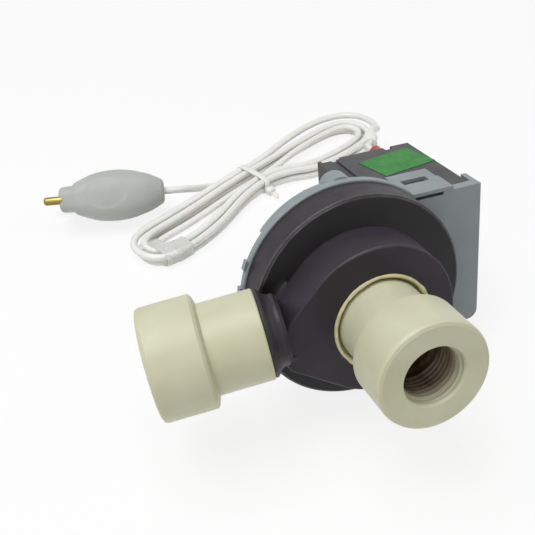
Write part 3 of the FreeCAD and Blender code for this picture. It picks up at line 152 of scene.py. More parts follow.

# %% [markdown]
# The two free stretches are given point by point. The first leaves the boot, bends down behind
# the motor and comes to the hank from the far side. The last goes from the hank's foot up to
# the back of the plug, which lies with its fat grip on the table.

# %% Points of the free stretches
boot_end = Vector((63.47, 83.71, 43.37))
boot_way = Vector((0.4507, 0.8637, -0.2256))
lead_points = [
    boot_end, boot_end + boot_way * 14, Vector((80, 112, 29)), Vector((90.5, 128, 18)),
    Vector((96, 145.5, 12)), Vector((94, 158, 9.6)), Vector((83.5, 164.5, 8.4)),
    Vector((66.5, 161.8, 7.8)), Vector((46, 150.5, 7.3)),
    on_table(Vector((13.4, 13.6, 6.65))),
]
plug_rear = Vector((-25.03, 120.65, 13.9))
plug_way = Vector((-48.5, 10.5, 0.0)).normalized()
tail_points = [
    on_table(Vector((-11.4, 13.6, 2.75))), Vector((-1, 131, 3.6)), Vector((-8.4, 124.6, 8.4)),
    plug_rear - plug_way * 8, plug_rear + plug_way * 2.28,
]
print("free points:", len(lead_points), "and", len(tail_points))

# %% The lead as one spline
route = lead_points + hank_points[::-1] + tail_points
flex = bpy.data.curves.new("mains_flex", "CURVE")
flex.dimensions = "3D"
flex.resolution_u = 10
flex.bevel_depth = flex_radius
flex.bevel_resolution = 5
flex.use_fill_caps = True
line = flex.splines.new("NURBS")
line.points.add(len(route) - 1)
for place, spot in zip(line.points, route):
    place.co = (*(spot * MM), 1.0)
    place.radius = MM
line.order_u = 3
line.use_endpoint_u = True
lead = keep("mains_lead", flex)
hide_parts("cord_lead", "cord_hank", "cord_tail")


def spline_spots(curve):
    """The line inside a curve, as Blender draws it."""
    bare = bpy.data.objects.new("bare_line", curve.copy())
    bare.data.bevel_depth = 0.0
    mesh = bpy.data.meshes.new_from_object(bare)
    spots = [vertex.co.copy() for vertex in mesh.vertices]
    bpy.data.objects.remove(bare)
    bpy.data.meshes.remove(mesh)
    return spots


lead_spots = spline_spots(flex)
lead_length = sum((after - before).length for before, after in zip(lead_spots, lead_spots[1:]))
print("lead: points", len(route), "length", round(lead_length, 4))

# %% [markdown]
# The lamps follow the picture: one broad soft source above and to the left, so that round
# tops are bright and the faces turned to the lens fall off, and a weaker one in front that
# keeps the dark casing readable. Big area lamps give soft edges. Their power is set so that
# a colour comes out about as it is written.

# %% Lamps


def lamp(name, place, target, width, power, tint):
    data = bpy.data.lights.new(name, "AREA")
    data.shape = "SQUARE"
    data.size = width
    data.energy = power
    data.color = tint
    thing = bpy.data.objects.new(name, data)
    scene.collection.objects.link(thing)
    thing.location = place
    thing.rotation_euler = (Vector(target) - Vector(place)).to_track_quat("-Z", "Y").to_euler()
    return thing


lamp("overhead_softbox", place=(-0.25, 0.0, 0.85), target=(0.0, 0.02, 0.03),
     width=0.6, power=6.1, tint=(0.97, 0.99, 1.0))
lamp("front_softbox", place=(-0.6, -0.7, 0.5), target=(0.0, 0.0, 0.03),
     width=0.6, power=1.1, tint=(1.0, 0.96, 0.85))
lamp("right_softbox", place=(0.75, -0.2, 0.5), target=(0.02, 0.02, 0.03),
     width=0.5, power=1.0, tint=(1.0, 0.97, 0.88))

# %% [markdown]
# The background is white paper. A real floor would come out grey wherever the lamps fall
# off, so what the lens sees of it is mostly plain white, and the small rest is lit paper
# that takes the pump's shadow. The Light Path node tells the lens, a mirror or a clear part
# from the soft light that the floor throws back.

# %% Floor and surrounding light


def white_to_eye(tree, lit, share):
    """Mix a shader with plain white for rays that carry a picture."""
    path = tree.nodes.new("ShaderNodeLightPath")
    seen = tree.nodes.new("ShaderNodeMath")
    seen.operation = "MAXIMUM"
    seen_all = tree.nodes.new("ShaderNodeMath")
    seen_all.operation = "MAXIMUM"
    part = tree.nodes.new("ShaderNodeMath")
    part.operation = "MULTIPLY"
    part.inputs[1].default_value = share
    glow = tree.nodes.new("ShaderNodeEmission" if lit.type != "BACKGROUND" else "ShaderNodeBackground")
    glow.inputs["Color"].default_value = (1.0, 1.0, 1.0, 1.0)
    mix = tree.nodes.new("ShaderNodeMixShader")
    link = tree.links.new
    link(path.outputs["Is Camera Ray"], seen.inputs[0])
    link(path.outputs["Is Glossy Ray"], seen.inputs[1])
    link(seen.outputs[0], seen_all.inputs[0])
    link(path.outputs["Is Transmission Ray"], seen_all.inputs[1])
    link(seen_all.outputs[0], part.inputs[0])
    link(part.outputs[0], mix.inputs[0])
    link(lit.outputs[0], mix.inputs[1])
    link(glow.outputs[0], mix.inputs[2])
    return mix


paper = bpy.data.materials.new("white_paper")
paper.use_nodes = True
paper_tree = paper.node_tree
paper_face = paper_tree.nodes["Principled BSDF"]
paper_face.inputs["Base Color"].default_value = (0.9, 0.9, 0.9, 1.0)
paper_face.inputs["Roughness"].default_value = 0.9
paper_white_share = 0.84
paper_mix = white_to_eye(paper_tree, paper_face, paper_white_share)
paper_tree.links.new(paper_mix.outputs[0], paper_tree.nodes["Material Output"].inputs[0])

sheet = bmesh.new()
bmesh.ops.create_grid(sheet, x_segments=4, y_segments=4, size=4.0)
floor_mesh = bpy.data.meshes.new("paper_floor")
sheet.to_mesh(floor_mesh)
sheet.free()
floor_mesh.materials.append(paper)
floor = bpy.data.objects.new("paper_floor", floor_mesh)
scene.collection.objects.link(floor)

world = bpy.data.worlds.new("studio_room")
scene.world = world
world.use_nodes = True
room = world.node_tree.nodes["Background"]
room.inputs["Color"].default_value = (1.0, 0.98, 0.93, 1.0)
room.inputs["Strength"].default_value = 0.25
room_mix = white_to_eye(world.node_tree, room, 1.0)
world.node_tree.links.new(room_mix.outputs[0], world.node_tree.nodes["World Output"].inputs[0])
print("floor and room are set")

# %% [markdown]
# Nearly every part is moulded plastic, and moulded plastic is never one even colour: the
# melt leaves faint clouds, the mould a fine grain, and handling a few dull patches. One
# helper builds that family from three noise fields. The colour, the strength of each field
# and the gloss are the maker's choice for each part.

# %% Helper for moulded plastic


def noise(tree, scale, detail, stretch=(1.0, 1.0, 1.0)):
    place = tree.nodes.new("ShaderNodeTexCoord")
    squeeze = tree.nodes.new("ShaderNodeMapping")
    squeeze.inputs["Scale"].default_value = stretch
    field = tree.nodes.new("ShaderNodeTexNoise")
    field.inputs["Scale"].default_value = scale
    field.inputs["Detail"].default_value = detail
    tree.links.new(place.outputs["Object"], squeeze.inputs["Vector"])
    tree.links.new(squeeze.outputs["Vector"], field.inputs["Vector"])
    return field


def ramp(tree, source, low, high, from_low=0.3, from_high=0.7):
    """Map a field to a number between two values."""
    spread = tree.nodes.new("ShaderNodeMapRange")
    for socket, value in zip(("From Min", "From Max", "To Min", "To Max"), (from_low, from_high, low, high)):
        spread.inputs[socket].default_value = value
    tree.links.new(source, spread.inputs["Value"])
    return spread.outputs["Result"]


def blend(tree, share, one, other):
    """Mix two colours by a field."""
    mix = tree.nodes.new("ShaderNodeMix")
    mix.data_type = "RGBA"
    tree.links.new(share, mix.inputs["Factor"])
    for socket, value in (("A", one), ("B", other)):
        colour = [item for item in mix.inputs if item.name == socket and item.type == "RGBA"][0]
        if isinstance(value, tuple):
            colour.default_value = (*value, 1.0)
        else:
            tree.links.new(value, colour)
    return [item for item in mix.outputs if item.type == "RGBA"][0]


def bump(tree, height, strength, deep, under=None):
    dent = tree.nodes.new("ShaderNodeBump")
    dent.inputs["Strength"].default_value = strength
    dent.inputs["Distance"].default_value = deep
    tree.links.new(height, dent.inputs["Height"])
    if under:
        tree.links.new(under, dent.inputs["Normal"])
    return dent.outputs["Normal"]


def painted_edge_highlights(tree, width):
    """A mask that is 1 along outer edges, where a pale highlight is painted on."""
    rounded = tree.nodes.new("ShaderNodeBevel")
    rounded.samples = 4
    rounded.inputs["Radius"].default_value = width
    flat = tree.nodes.new("ShaderNodeNewGeometry")
    turn = tree.nodes.new("ShaderNodeVectorMath")
    turn.operation = "DOT_PRODUCT"
    tree.links.new(rounded.outputs["Normal"], turn.inputs[0])
    tree.links.new(flat.outputs["Normal"], turn.inputs[1])
    corner = ramp(tree, turn.outputs["Value"], 1.0, 0.0, from_low=0.85, from_high=0.99)
    hollow = tree.nodes.new("ShaderNodeAmbientOcclusion")
    hollow.samples = 4
    hollow.inputs["Distance"].default_value = 3 * width
    open_air = ramp(tree, hollow.outputs["AO"], 0.0, 1.0, from_low=0.75, from_high=0.95)
    return times(tree, corner, open_air)


def times(tree, one, other):
    product = tree.nodes.new("ShaderNodeMath")
    product.operation = "MULTIPLY"
    for socket, value in zip(product.inputs, (one, other)):
        if isinstance(value, float):
            socket.default_value = value
        else:
            tree.links.new(value, socket)
    return product.outputs[0]


def recolour(material, mask, colour):
    """Lay one more colour over a material where a mask says so."""
    tree = material.node_tree
    face = tree.nodes["Principled BSDF"]
    under = face.inputs["Base Color"].links[0].from_socket
    tree.links.new(blend(tree, mask, under, colour), face.inputs["Base Color"])


def moulded(name, colour, cloud, rough, grain=0.15, cloud_scale=60.0, grain_scale=2200.0,
            grain_depth=0.00006, **sockets):
    """A moulded plastic: clouds between two colours, dull patches and a fine grain."""
    material = bpy.data.materials.new(name)
    material.use_nodes = True
    tree = material.node_tree
    face = tree.nodes["Principled BSDF"]
    clouds = noise(tree, cloud_scale, 4.0)
    fine = noise(tree, grain_scale, 2.0)
    patches = noise(tree, cloud_scale * 2.7, 5.0)
    tint = blend(tree, ramp(tree, clouds.outputs["Fac"], 0.0, 1.0), colour, cloud)
    tree.links.new(tint, face.inputs["Base Color"])
    tree.links.new(ramp(tree, patches.outputs["Fac"], rough[0], rough[1]), face.inputs["Roughness"])
    tree.links.new(bump(tree, fine.outputs["Fac"], grain, grain_depth), face.inputs["Normal"])
    for socket, value in sockets.items():
        face.inputs[socket.replace("_", " ")].default_value = value
    return material


def dress(material, *names):
    for name in names:
        for place in nodes[name].material_slots:
            place.material = material
    print(material.name, "on", ", ".join(names))


# %% [markdown]
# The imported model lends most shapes. The few new pieces share these helpers. One turns a
# profile round an axis, one skins a row of outlines, one gives the points of an oval that
# can be squared off, and one makes the finished mesh a piece that rides on the pump.

# %% Helpers for new pieces


def join_rows(mesh, rows):
    """Faces between closed rows of points, the last row joined to the first."""
    for row, after in zip(rows, rows[1:] + rows[:1]):
        for number in range(len(row)):
            then = (number + 1) % len(row)
            mesh.faces.new((row[number], after[number], after[then], row[then]))


def lathe(mesh, base, axis, profile, segments=48):
    """Turn a closed profile of (distance along the axis, radius), in millimetres."""
    side = axis.orthogonal().normalized()
    other = axis.cross(side)
    rows = []
    for step in range(segments):
        angle = 2 * math.pi * step / segments
        way = math.cos(angle) * side + math.sin(angle) * other
        spots = [base + axis * along * MM + way * radius * MM for along, radius in profile]
        rows.append([mesh.verts.new(spot) for spot in spots])
    join_rows(mesh, rows)


def sweep(mesh, outlines, ring, place=on_table):
    """Skin a row of closed outlines, in millimetres, as a ring or as a capped bar."""
    rows = [[mesh.verts.new(place(Vector(spot)) * MM) for spot in outline] for outline in outlines]
    for row, after in zip(rows, rows[1:] + (rows[:1] if ring else [])):
        for number in range(len(row)):
            then = (number + 1) % len(row)
            mesh.faces.new((row[number], row[then], after[then], after[number]))
    if not ring:
        mesh.faces.new(rows[0])
        mesh.faces.new(rows[-1])


def squared_oval(width, height, power, segments):
    """Points round an oval; a power of 2 is an ellipse, more is squarer."""
    for step in range(segments):
        angle = 2 * math.pi * (step + 0.5) / segments
        across, up = math.cos(angle), math.sin(angle)
        yield (math.copysign(abs(across) ** (2 / power), across) * width / 2,
               math.copysign(abs(up) ** (2 / power), up) * height / 2)


def mesh_piece(name, mesh, material, closed=True):
    """Make a bmesh a smooth piece that rides on the pump."""
    if closed:
        bmesh.ops.recalc_face_normals(mesh, faces=mesh.faces)
    else:
        mesh.normal_update()
    data = bpy.data.meshes.new(name)
    mesh.to_mesh(data)
    mesh.free()
    for face in data.polygons:
        face.use_smooth = True
    data.materials.append(material)
    print(name, "faces", len(data.polygons))
    return keep(name, data)


# %% [markdown]
# The adapters are cream PVC pipe fittings. The colour is yellower than it looks in a hand,
# because the wall lets a little light in and gives it back warm. That is what subsurface
# scattering stands for, with a radius of about a millimetre. The surface is satin, with
# broad soft highlights.

# %% Cream PVC
cream = moulded("cream_pvc", (0.61, 0.605, 0.455), (0.54, 0.532, 0.37), (0.34, 0.46), grain=0.1,
                Subsurface_Weight=0.1, Subsurface_Scale=0.0015, Specular_IOR_Level=0.35)
cream.node_tree.nodes["Principled BSDF"].inputs["Subsurface Radius"].default_value = (1.0, 0.8, 0.5)
dress(cream, "inlet_adapter", "outlet_adapter")

# %% [markdown]
# Deep in the bores the colour turns brown. Part of it is a stain, as water and sealing paste
# leave such pipes, and part is painted shade, darker the deeper it lies. The brown is a second
# colour of the same plastic, laid on by a mask: near the bore's axis, and more so the deeper it
# lies behind the mouth. Mouth and axis are read from the record.

# %% Brown stain and painted shade in the bores
mounts = {mount["name"]: mount for mount in record["mounts"]}
THREADS = ("inlet_thread", "outlet_thread")
bore_stain_and_shade = (0.1, 0.042, 0.016)
# where each mask begins and where it is complete, in metres
BROWN_EDGE = (0.0107, 0.0111)
BROWN_START = (0.0, 0.008)
BROWN_END = (0.038, 0.039)


def vector_step(tree, operation, one, other):
    step = tree.nodes.new("ShaderNodeVectorMath")
    step.operation = operation
    tree.links.new(one, step.inputs[0])
    if operation != "LENGTH":
        step.inputs[1].default_value = other
    return step.outputs["Value" if operation in ("LENGTH", "DOT_PRODUCT") else "Vector"]


def along_axis(tree, start, axis):
    """Distance along an axis from a start point, and distance from that axis."""
    place = tree.nodes.new("ShaderNodeTexCoord")
    apart = vector_step(tree, "SUBTRACT", place.outputs["Object"], start)
    along = vector_step(tree, "DOT_PRODUCT", apart, axis)
    away = vector_step(tree, "LENGTH", vector_step(tree, "CROSS_PRODUCT", apart, axis), None)
    return along, away


def behind_mouth(tree, mount_name):
    """Distance behind a thread's mouth, and distance from its axis."""
    mount = mounts[mount_name]
    inward = Vector(mount["axis"]).normalized() * -1
    return along_axis(tree, Vector(mount["pos_m"]), inward)


tree = cream.node_tree
for mount_name in THREADS:
    depth, away = behind_mouth(tree, mount_name)
    in_bore = ramp(tree, away, 1.0, 0.0, *BROWN_EDGE)
    deep = times(tree, ramp(tree, depth, 0.0, 0.97, *BROWN_START), ramp(tree, depth, 1.0, 0.0, *BROWN_END))
    cloudy = ramp(tree, noise(tree, scale=220.0, detail=4.0).outputs["Fac"], 0.75, 1.0)
    # the brown deep in the bore: partly a stain, partly painted shade
    recolour(cream, times(tree, times(tree, in_bore, deep), cloudy), bore_stain_and_shade)
print("brown film in both bores")

# %% [markdown]
# The casing is a glass-filled plastic, near black with a touch of purple where light grazes
# it. A dark part shows its surface more than its colour, so its cloud is faint, its grain
# strong and its gloss low. The flange is painted darker than the scroll, most of all in its
# sunken ring: that darkness is painted shade, laid on as colour by depth and by distance from
# the inlet's axis. A pale line along the outer edges is a painted highlight; the difference
# between the true normal and a rounded one finds those edges.

# %% Dark casing plastic
flange_painted_shade = (0.02, 0.016, 0.02)
ring_painted_shade = (0.007, 0.006, 0.0065)
spigot_stain_and_shade = (0.05, 0.022, 0.009)
edge_highlight_pale = (0.3, 0.29, 0.3)
edge_highlight_width = 0.0011
FLANGE_DEPTH = (0.0492, 0.0504)
RING_EDGE = (0.0384, 0.0391)
SPIGOT_EDGE = (0.0108, 0.0111)
SPIGOT_END = (0.044, 0.045)
NECK_EDGE = (0.016, 0.018)
casing = moulded("casing_plastic", (0.031, 0.0235, 0.035), (0.022, 0.0185, 0.024), (0.4, 0.54),
                 grain=0.25, Specular_IOR_Level=0.28)
tree = casing.node_tree
depth, away = behind_mouth(tree, "inlet_thread")
# painted shade: the flange behind the scroll is darker, and darker again in its sunken ring
behind = ramp(tree, depth, 0.0, 1.0, *FLANGE_DEPTH)
recolour(casing, behind, flange_painted_shade)
recolour(casing, times(tree, behind, ramp(tree, away, 1.0, 0.0, *RING_EDGE)), ring_painted_shade)
# the spigots' bores get the brown too: partly a stain, partly painted shade deeper in
for mount_name in THREADS:
    depth, away = behind_mouth(tree, mount_name)
    in_bore = times(tree, ramp(tree, away, 1.0, 0.0, *SPIGOT_EDGE), ramp(tree, depth, 1.0, 0.0, *SPIGOT_END))
    recolour(casing, in_bore, spigot_stain_and_shade)
# the loop ends with the outlet's axis, which the neck goes round
clear_of_neck = ramp(tree, away, 0.0, 1.0, *NECK_EDGE)
# painted highlight: a pale line along the outer edges, kept clear of the neck
highlighted_edges = times(tree, painted_edge_highlights(tree, edge_highlight_width), clear_of_neck)
breaks = ramp(tree, noise(tree, scale=150.0, detail=5.0).outputs["Fac"], 0.3, 1.0)
recolour(casing, times(tree, highlighted_edges, breaks), edge_highlight_pale)
dress(casing, "volute_casing", "inlet_spigot", "outlet_spigot")

# %% [markdown]
# The base and the tray round the motor are a cool mid grey. They have been handled, so the
# dull patches are wider than on the casing. The motor's cover is a darker, coarser grey.

# %% Greys of the base and the cover
base = moulded("base_plastic", (0.27, 0.305, 0.32), (0.23, 0.262, 0.275), (0.42, 0.58), grain=0.2,
               Specular_IOR_Level=0.4)
dress(base, "motor_base", "bearing_carrier")
cover = moulded("cover_plastic", (0.064, 0.062, 0.066), (0.047, 0.045, 0.049), (0.42, 0.56), grain=0.35,
                grain_scale=1500.0, Specular_IOR_Level=0.35)
dress(cover, "stator_cover")

# %% [markdown]
# The flex jacket is smooth white PVC. White on white shows only by its shading, so the
# colour stays a little under paper white and the surface is glossier than the paper.

# %% Flex jacket
jacket = moulded("flex_jacket", (0.88, 0.88, 0.86), (0.83, 0.83, 0.8), (0.3, 0.42), grain=0.06,
                 cloud_scale=35.0, Subsurface_Weight=0.15, Subsurface_Scale=0.0015)
lead.data.materials.append(jacket)
dress(jacket, "lead_boot", "lead_wires")

# %% [markdown]
# The plug is moulded round the flex in a grey, slightly soft plastic. It is a fat grip that
# narrows to fine rings where the flex goes in and steps down to a flat nose for the pins.
# One closed skin does it: a row of sections, each an oval that can be squared off by an
# exponent, joined from the hole for the flex to the nose. On both broad sides a shallow
# oval is pressed in for the thumb, by moving the points that fall inside it.

# %% Sections of the plug
PLUG_RINGS = [
    # along the plug, width across both pins, height, squareness of the oval
    (2.2, 3.6, 3.6, 2.0), (2.2, 6.2, 6.2, 2.0), (0.5, 6.6, 6.6, 2.0), (0.1, 7.2, 7.0, 2.0),
    (0.0, 9.0, 7.8, 2.2), (0.3, 12.0, 9.8, 2.3), (1.0, 14.2, 11.6, 2.4),
    (1.5, 15.2, 12.3, 2.4), (1.9, 15.2, 12.2, 2.4), (2.3, 16.2, 13.1, 2.4), (2.9, 17.0, 13.9, 2.4),
    (3.3, 17.0, 13.8, 2.4), (3.7, 17.9, 14.6, 2.4), (4.3, 18.6, 15.3, 2.4), (4.7, 18.6, 15.2, 2.4),
    (5.1, 19.4, 16.0, 2.4), (5.8, 20.0, 16.7, 2.5), (6.2, 20.1, 16.8, 2.5), (6.6, 20.7, 17.4, 2.5),
    (8.4, 21.8, 18.6, 2.5), (10.8, 23.0, 20.0, 2.5), (13.5, 24.2, 21.7, 2.5), (16.5, 25.2, 23.0, 2.5),
    (19.5, 25.8, 23.7, 2.5), (22.2, 26.0, 24.0, 2.5), (25.6, 26.0, 23.8, 2.5), (28.0, 26.0, 23.4, 2.5),
    (30.5, 26.0, 22.7, 2.6), (33.5, 25.8, 21.2, 2.6), (36.0, 25.4, 19.3, 2.7), (38.1, 25.0, 17.6, 2.8),
    (39.8, 24.6, 16.2, 2.9), (41.0, 24.2, 15.0, 3.0), (41.5, 23.9, 14.0, 3.1), (41.7, 23.4, 12.8, 3.3),
    (42.1, 23.2, 12.5, 3.4), (44.2, 23.0, 12.3, 3.4), (46.3, 22.8, 12.1, 3.4), (47.3, 22.2, 11.5, 3.3),
    (47.8, 21.4, 10.7, 3.2), (48.0, 20.2, 9.6, 3.0), (48.0, 8.0, 3.0, 2.0),
]
plug_level = Vector((0, 0, 1)).cross(plug_way).normalized()
plug_roll = math.radians(34)
plug_x = plug_level * math.cos(plug_roll) + Vector((0, 0, 1)) * math.sin(plug_roll)
plug_y = Vector((0, 0, 1)) * math.cos(plug_roll) - plug_level * math.sin(plug_roll)

# %% Plug
rest_middle = (26.5, 1.5)
rest_half = (9.5, 7.0)
rest_depth = 0.4
rest_edge, rest_slope = 1.04, 0.16
broad_side = 0.25


def finer_rings(rings, first, last, step):
    """The table with more sections between two places along the plug."""
    for before, after in zip(rings, rings[1:]):
        yield before
        if first <= before[0] and after[0] <= last:
            count = max(1, round((after[0] - before[0]) / step))
            for number in range(1, count):
                share = number / count
                yield tuple(one + (two - one) * share for one, two in zip(before, after))
    yield rings[-1]


def thumb_rest(along, up):
    """How deep the thumb rest is at a place on a broad side, in millimetres."""
    oval = math.hypot((along - rest_middle[0]) / rest_half[0], (up - rest_middle[1]) / rest_half[1])
    edge = max(0.0, min(1.0, (rest_edge - oval) / rest_slope))
    return rest_depth * edge * edge * (3 - 2 * edge)


plug_outlines = []
for along, width, height, power in finer_rings(PLUG_RINGS, first=13.0, last=40.0, step=0.6):
    outline = []
    for across, up in squared_oval(width, height, power, segments=112):
        if abs(across) > broad_side * width:
            across -= math.copysign(thumb_rest(along, up), across)
        outline.append(plug_rear + plug_way * along + plug_x * across + plug_y * up)
    plug_outlines.append(outline)
plug_mesh = bmesh.new()
sweep(plug_mesh, plug_outlines, ring=False, place=Vector)
plug_skin = moulded("plug_rubber", (0.47, 0.495, 0.475), (0.41, 0.435, 0.415), (0.45, 0.6), grain=0.25,
                    Specular_IOR_Level=0.35)
plug_grip = mesh_piece("plug_grip", plug_mesh, plug_skin)
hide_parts("plug_body")

# %% [markdown]
# A nylon tie draws the hank in. Its strap is a thin band bent round the bundle, its head a
# small rounded block and its end a pointed strip, so each is its own short sweep. A pale
# glossy patch at the near end of the left loop is read as clear film: a loose sleeve round
# the strands there, with creases that run lengthwise.

# %% Cable tie
STRAP = [
    # place across the band, height over its inner face
    (-1.6, 0.0), (-1.45, -0.12), (1.45, -0.12), (1.6, 0.0), (1.6, 0.55), (1.45, 0.7), (-1.45, 0.7),
    (-1.6, 0.55),
]
HEAD = [
    # place out from the strap, width, height
    (0.3, 3.2, 2.6), (0.0, 4.0, 3.4), (-0.5, 4.4, 3.8), (-2.4, 4.4, 3.8), (-2.9, 4.0, 3.4),
    (-3.1, 3.0, 2.4),
]
STRIP = [
    # place out from the strap, width, height over the table
    (0.0, 2.4, 3.2), (-3.0, 2.4, 3.0), (-5.4, 2.3, 2.5), (-6.6, 1.6, 2.2), (-7.3, 0.6, 2.1),
]
packed_tie_reach = 9.8
strap_thick = 0.7
strap_sunk = 1.5
head_rise = 3.1
strip_thick = 0.9
strip_shift, strip_slant = 0.3, 0.08


def in_hank(spot):
    """From the table, in metres, to the hank's own frame, in millimetres."""
    return Matrix.Rotation(-hank_heading, 3, "Z") @ (spot / MM - hank_middle)


tie_spots = [in_hank(vertex.co) for vertex in nodes["cable_tie"].data.vertices]
tie_low = min(spot.y for spot in tie_spots) + packed_tie_reach
tie_high = max(spot.y for spot in tie_spots)
tie_floor = min(spot.z for spot in tie_spots)
tie_top = max(spot.z for spot in tie_spots)
middle_y, middle_z = (tie_low + tie_high) / 2, (tie_floor + tie_top) / 2
full_y, full_z = tie_high - tie_low, tie_top - tie_floor
band = []
for across, up in squared_oval(1.0, 1.0, 4.2, segments=120):
    outline = []
    for side, grow in STRAP:
        inset = 2 * (strap_thick - grow) if grow >= 0 else strap_sunk
        outline.append((side, middle_y + across * (full_y - inset), middle_z + up * (full_z - inset)))
    band.append(outline)
head = [[(across, tie_low + out, head_rise + up)
         for across, up in squared_oval(width, height, 3.6, segments=32)]
        for out, width, height in HEAD]
strip = [[(across + strip_shift + out * strip_slant, tie_low + out, rise + up)
          for across, up in squared_oval(width, strip_thick, 4.0, segments=20)]
         for out, width, rise in STRIP]
tie = bmesh.new()
sweep(tie, band, ring=True)
sweep(tie, head, ring=False)
sweep(tie, strip, ring=False)
tie_piece = mesh_piece("tie_strap", tie, jacket)
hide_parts("cable_tie")

# %% Clear film round the loop's end
film_start, film_step, film_stations = -72.5, 0.9, 17
film_reach = 3.0
near_side, near_top = 0.5, 9.0
film_air = 2.1
film_low = 0.2
film_floor = 0.1
film_thick = 0.12
fold_deep = 0.012

film = bpy.data.materials.new("clear_film")
film.use_nodes = True
tree = film.node_tree
film_face = tree.nodes["Principled BSDF"]
film_face.inputs["Alpha"].default_value = 0.55
film_clouds = ramp(tree, noise(tree, scale=300.0, detail=3.0).outputs["Fac"], 0.0, 1.0)
film_gloss = ramp(tree, noise(tree, scale=500.0, detail=3.0).outputs["Fac"], 0.12, 0.3)
film_dents = bump(tree, noise(tree, scale=420.0, detail=3.0).outputs["Fac"], strength=0.5, deep=0.0004)
film_tint = blend(tree, film_clouds, (0.9, 0.9, 0.88), (0.82, 0.82, 0.79))
tree.links.new(film_tint, film_face.inputs["Base Color"])
tree.links.new(film_gloss, film_face.inputs["Roughness"])
tree.links.new(film_dents, film_face.inputs["Normal"])

hank_spots = [in_hank(spot) for spot in lead_spots]
outer, inner = [], []
for station in range(film_stations):
    along = film_start + station * film_step
    near = [spot for spot in hank_spots
            if abs(spot.x - along) < film_reach and spot.y < near_side and spot.z < near_top]
    low_y, high_y = min(spot.y for spot in near) - film_air, max(spot.y for spot in near) + film_air
    low_z, high_z = film_low, max(spot.z for spot in near) + film_air
    lean = 1.3 * math.sin(station * 0.5)
    for skin, skins in ((0.0, outer), (film_thick, inner)):
        outline = []
        for number, (across, up) in enumerate(squared_oval(1.0, 1.0, 3.0, segments=96)):
            fold = 1.0 + fold_deep * math.sin(number * 0.9 + lean) * math.sin(station * 0.4 + 1)
            wide = (low_y + high_y) / 2 + across * ((high_y - low_y) * fold - 2 * skin)
            high = (low_z + high_z) / 2 + up * ((high_z - low_z) * fold - 2 * skin)
            outline.append((along, wide, max(film_floor + skin, high)))
        skins.append(outline)
film_mesh = bmesh.new()
sweep(film_mesh, outer + inner[::-1], ring=True)
wrap = mesh_piece("film_wrap", film_mesh, film)

# %% [markdown]
# Inside the motor and the pump there are softer and lighter plastics: bobbins and hub in
# milky nylon, an off-white impeller, black rubber rings and cushions, and carbon bearings.
# They are hidden in the picture, but the pump can be turned and taken apart on screen.

# %% Hidden plastics, rubber and carbon
nylon = moulded("milky_nylon", (0.66, 0.64, 0.58), (0.6, 0.57, 0.5), (0.35, 0.5), Subsurface_Weight=0.08,
                Subsurface_Scale=0.001)
dress(nylon, "bobbin_upper", "bobbin_lower", "rotor_hub", "rotor_driver")
vane_plastic = moulded("impeller_plastic", (0.56, 0.56, 0.53), (0.5, 0.5, 0.46), (0.35, 0.5))
dress(vane_plastic, "impeller", "impeller_cap")
rubber = moulded("seal_rubber", (0.02, 0.02, 0.021), (0.028, 0.027, 0.027), (0.55, 0.75), grain=0.4,
                 cloud_scale=180.0)
dress(rubber, "chamber_seal", "shaft_seal", "front_bearing_cushion", "rear_bearing_cushion")
carbon = moulded("bearing_carbon", (0.035, 0.035, 0.038), (0.05, 0.05, 0.055), (0.3, 0.45), grain=0.5,
                 cloud_scale=400.0)
dress(carbon, "front_bearing", "rear_bearing", "thrust_washers")

# %% [markdown]
# Each motor terminal wears a short red sleeve, pushed over the crimp. In the picture the
# sleeves sit at different depths and the wire shows behind them, so the plain tubes of the
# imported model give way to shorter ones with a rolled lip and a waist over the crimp. They
# are turned from a profile, in the same place: the old mesh tells where each tube lies.

# %% Red sleeves
sleeve = moulded("sleeve_red", (0.42, 0.045, 0.035), (0.34, 0.03, 0.025), (0.3, 0.42), grain=0.08,
                 Subsurface_Weight=0.1, Subsurface_Scale=0.001)
motor_way = Vector(mounts["inlet_thread"]["axis"]).normalized() * -1
motor_up = Vector((1, 0, 0)).cross(motor_way).normalized()
upper_sleeve_back = 0.0004
SLEEVE = [
    # distance from the lip, radius
    (0.0, 2.7), (0.25, 3.0), (0.7, 3.05), (1.1, 2.85), (3.0, 2.8), (4.2, 2.45), (5.4, 2.6), (6.4, 2.75),
    (6.7, 2.6), (6.6, 2.2), (4.2, 2.05), (0.3, 2.35),
]
corners = [vertex.co.copy() for vertex in nodes["terminal_sleeves"].data.vertices]
heights = [spot.dot(motor_up) for spot in corners]
parting = (min(heights) + max(heights)) / 2
sleeves = bmesh.new()
for upper in (True, False):
    group = [spot for spot, height in zip(corners, heights) if (height > parting) == upper]
    start = min(spot.dot(motor_way) for spot in group) + (upper_sleeve_back if upper else 0.0)
    rises = [spot.dot(motor_up) for spot in group]
    rise = (min(rises) + max(rises)) / 2
    across = (min(spot.x for spot in group) + max(spot.x for spot in group)) / 2
    base = motor_way * start + motor_up * rise + Vector((1, 0, 0)) * across
    lathe(sleeves, base, motor_way, SLEEVE)
short_sleeves = mesh_piece("short_sleeves", sleeves, sleeve)
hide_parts("terminal_sleeves")

# %% [markdown]
# Metal has no colour of its own under the surface, so only its reflection is coloured. What
# tells one metal from another is how it was worked: a ground shaft is plain and bright, a
# sheared stack shows the edge of every sheet, and drawn wire lies in a fine ribbing.

# %% Helper for worked metal


def bands(tree, scale, way, twist=0.0):
    """Fine parallel bands along one axis of the pump."""
    place = tree.nodes.new("ShaderNodeTexCoord")
    field = tree.nodes.new("ShaderNodeTexWave")
    field.bands_direction = way
    field.inputs["Scale"].default_value = scale
    field.inputs["Distortion"].default_value = twist
    tree.links.new(place.outputs["Object"], field.inputs["Vector"])
    return field


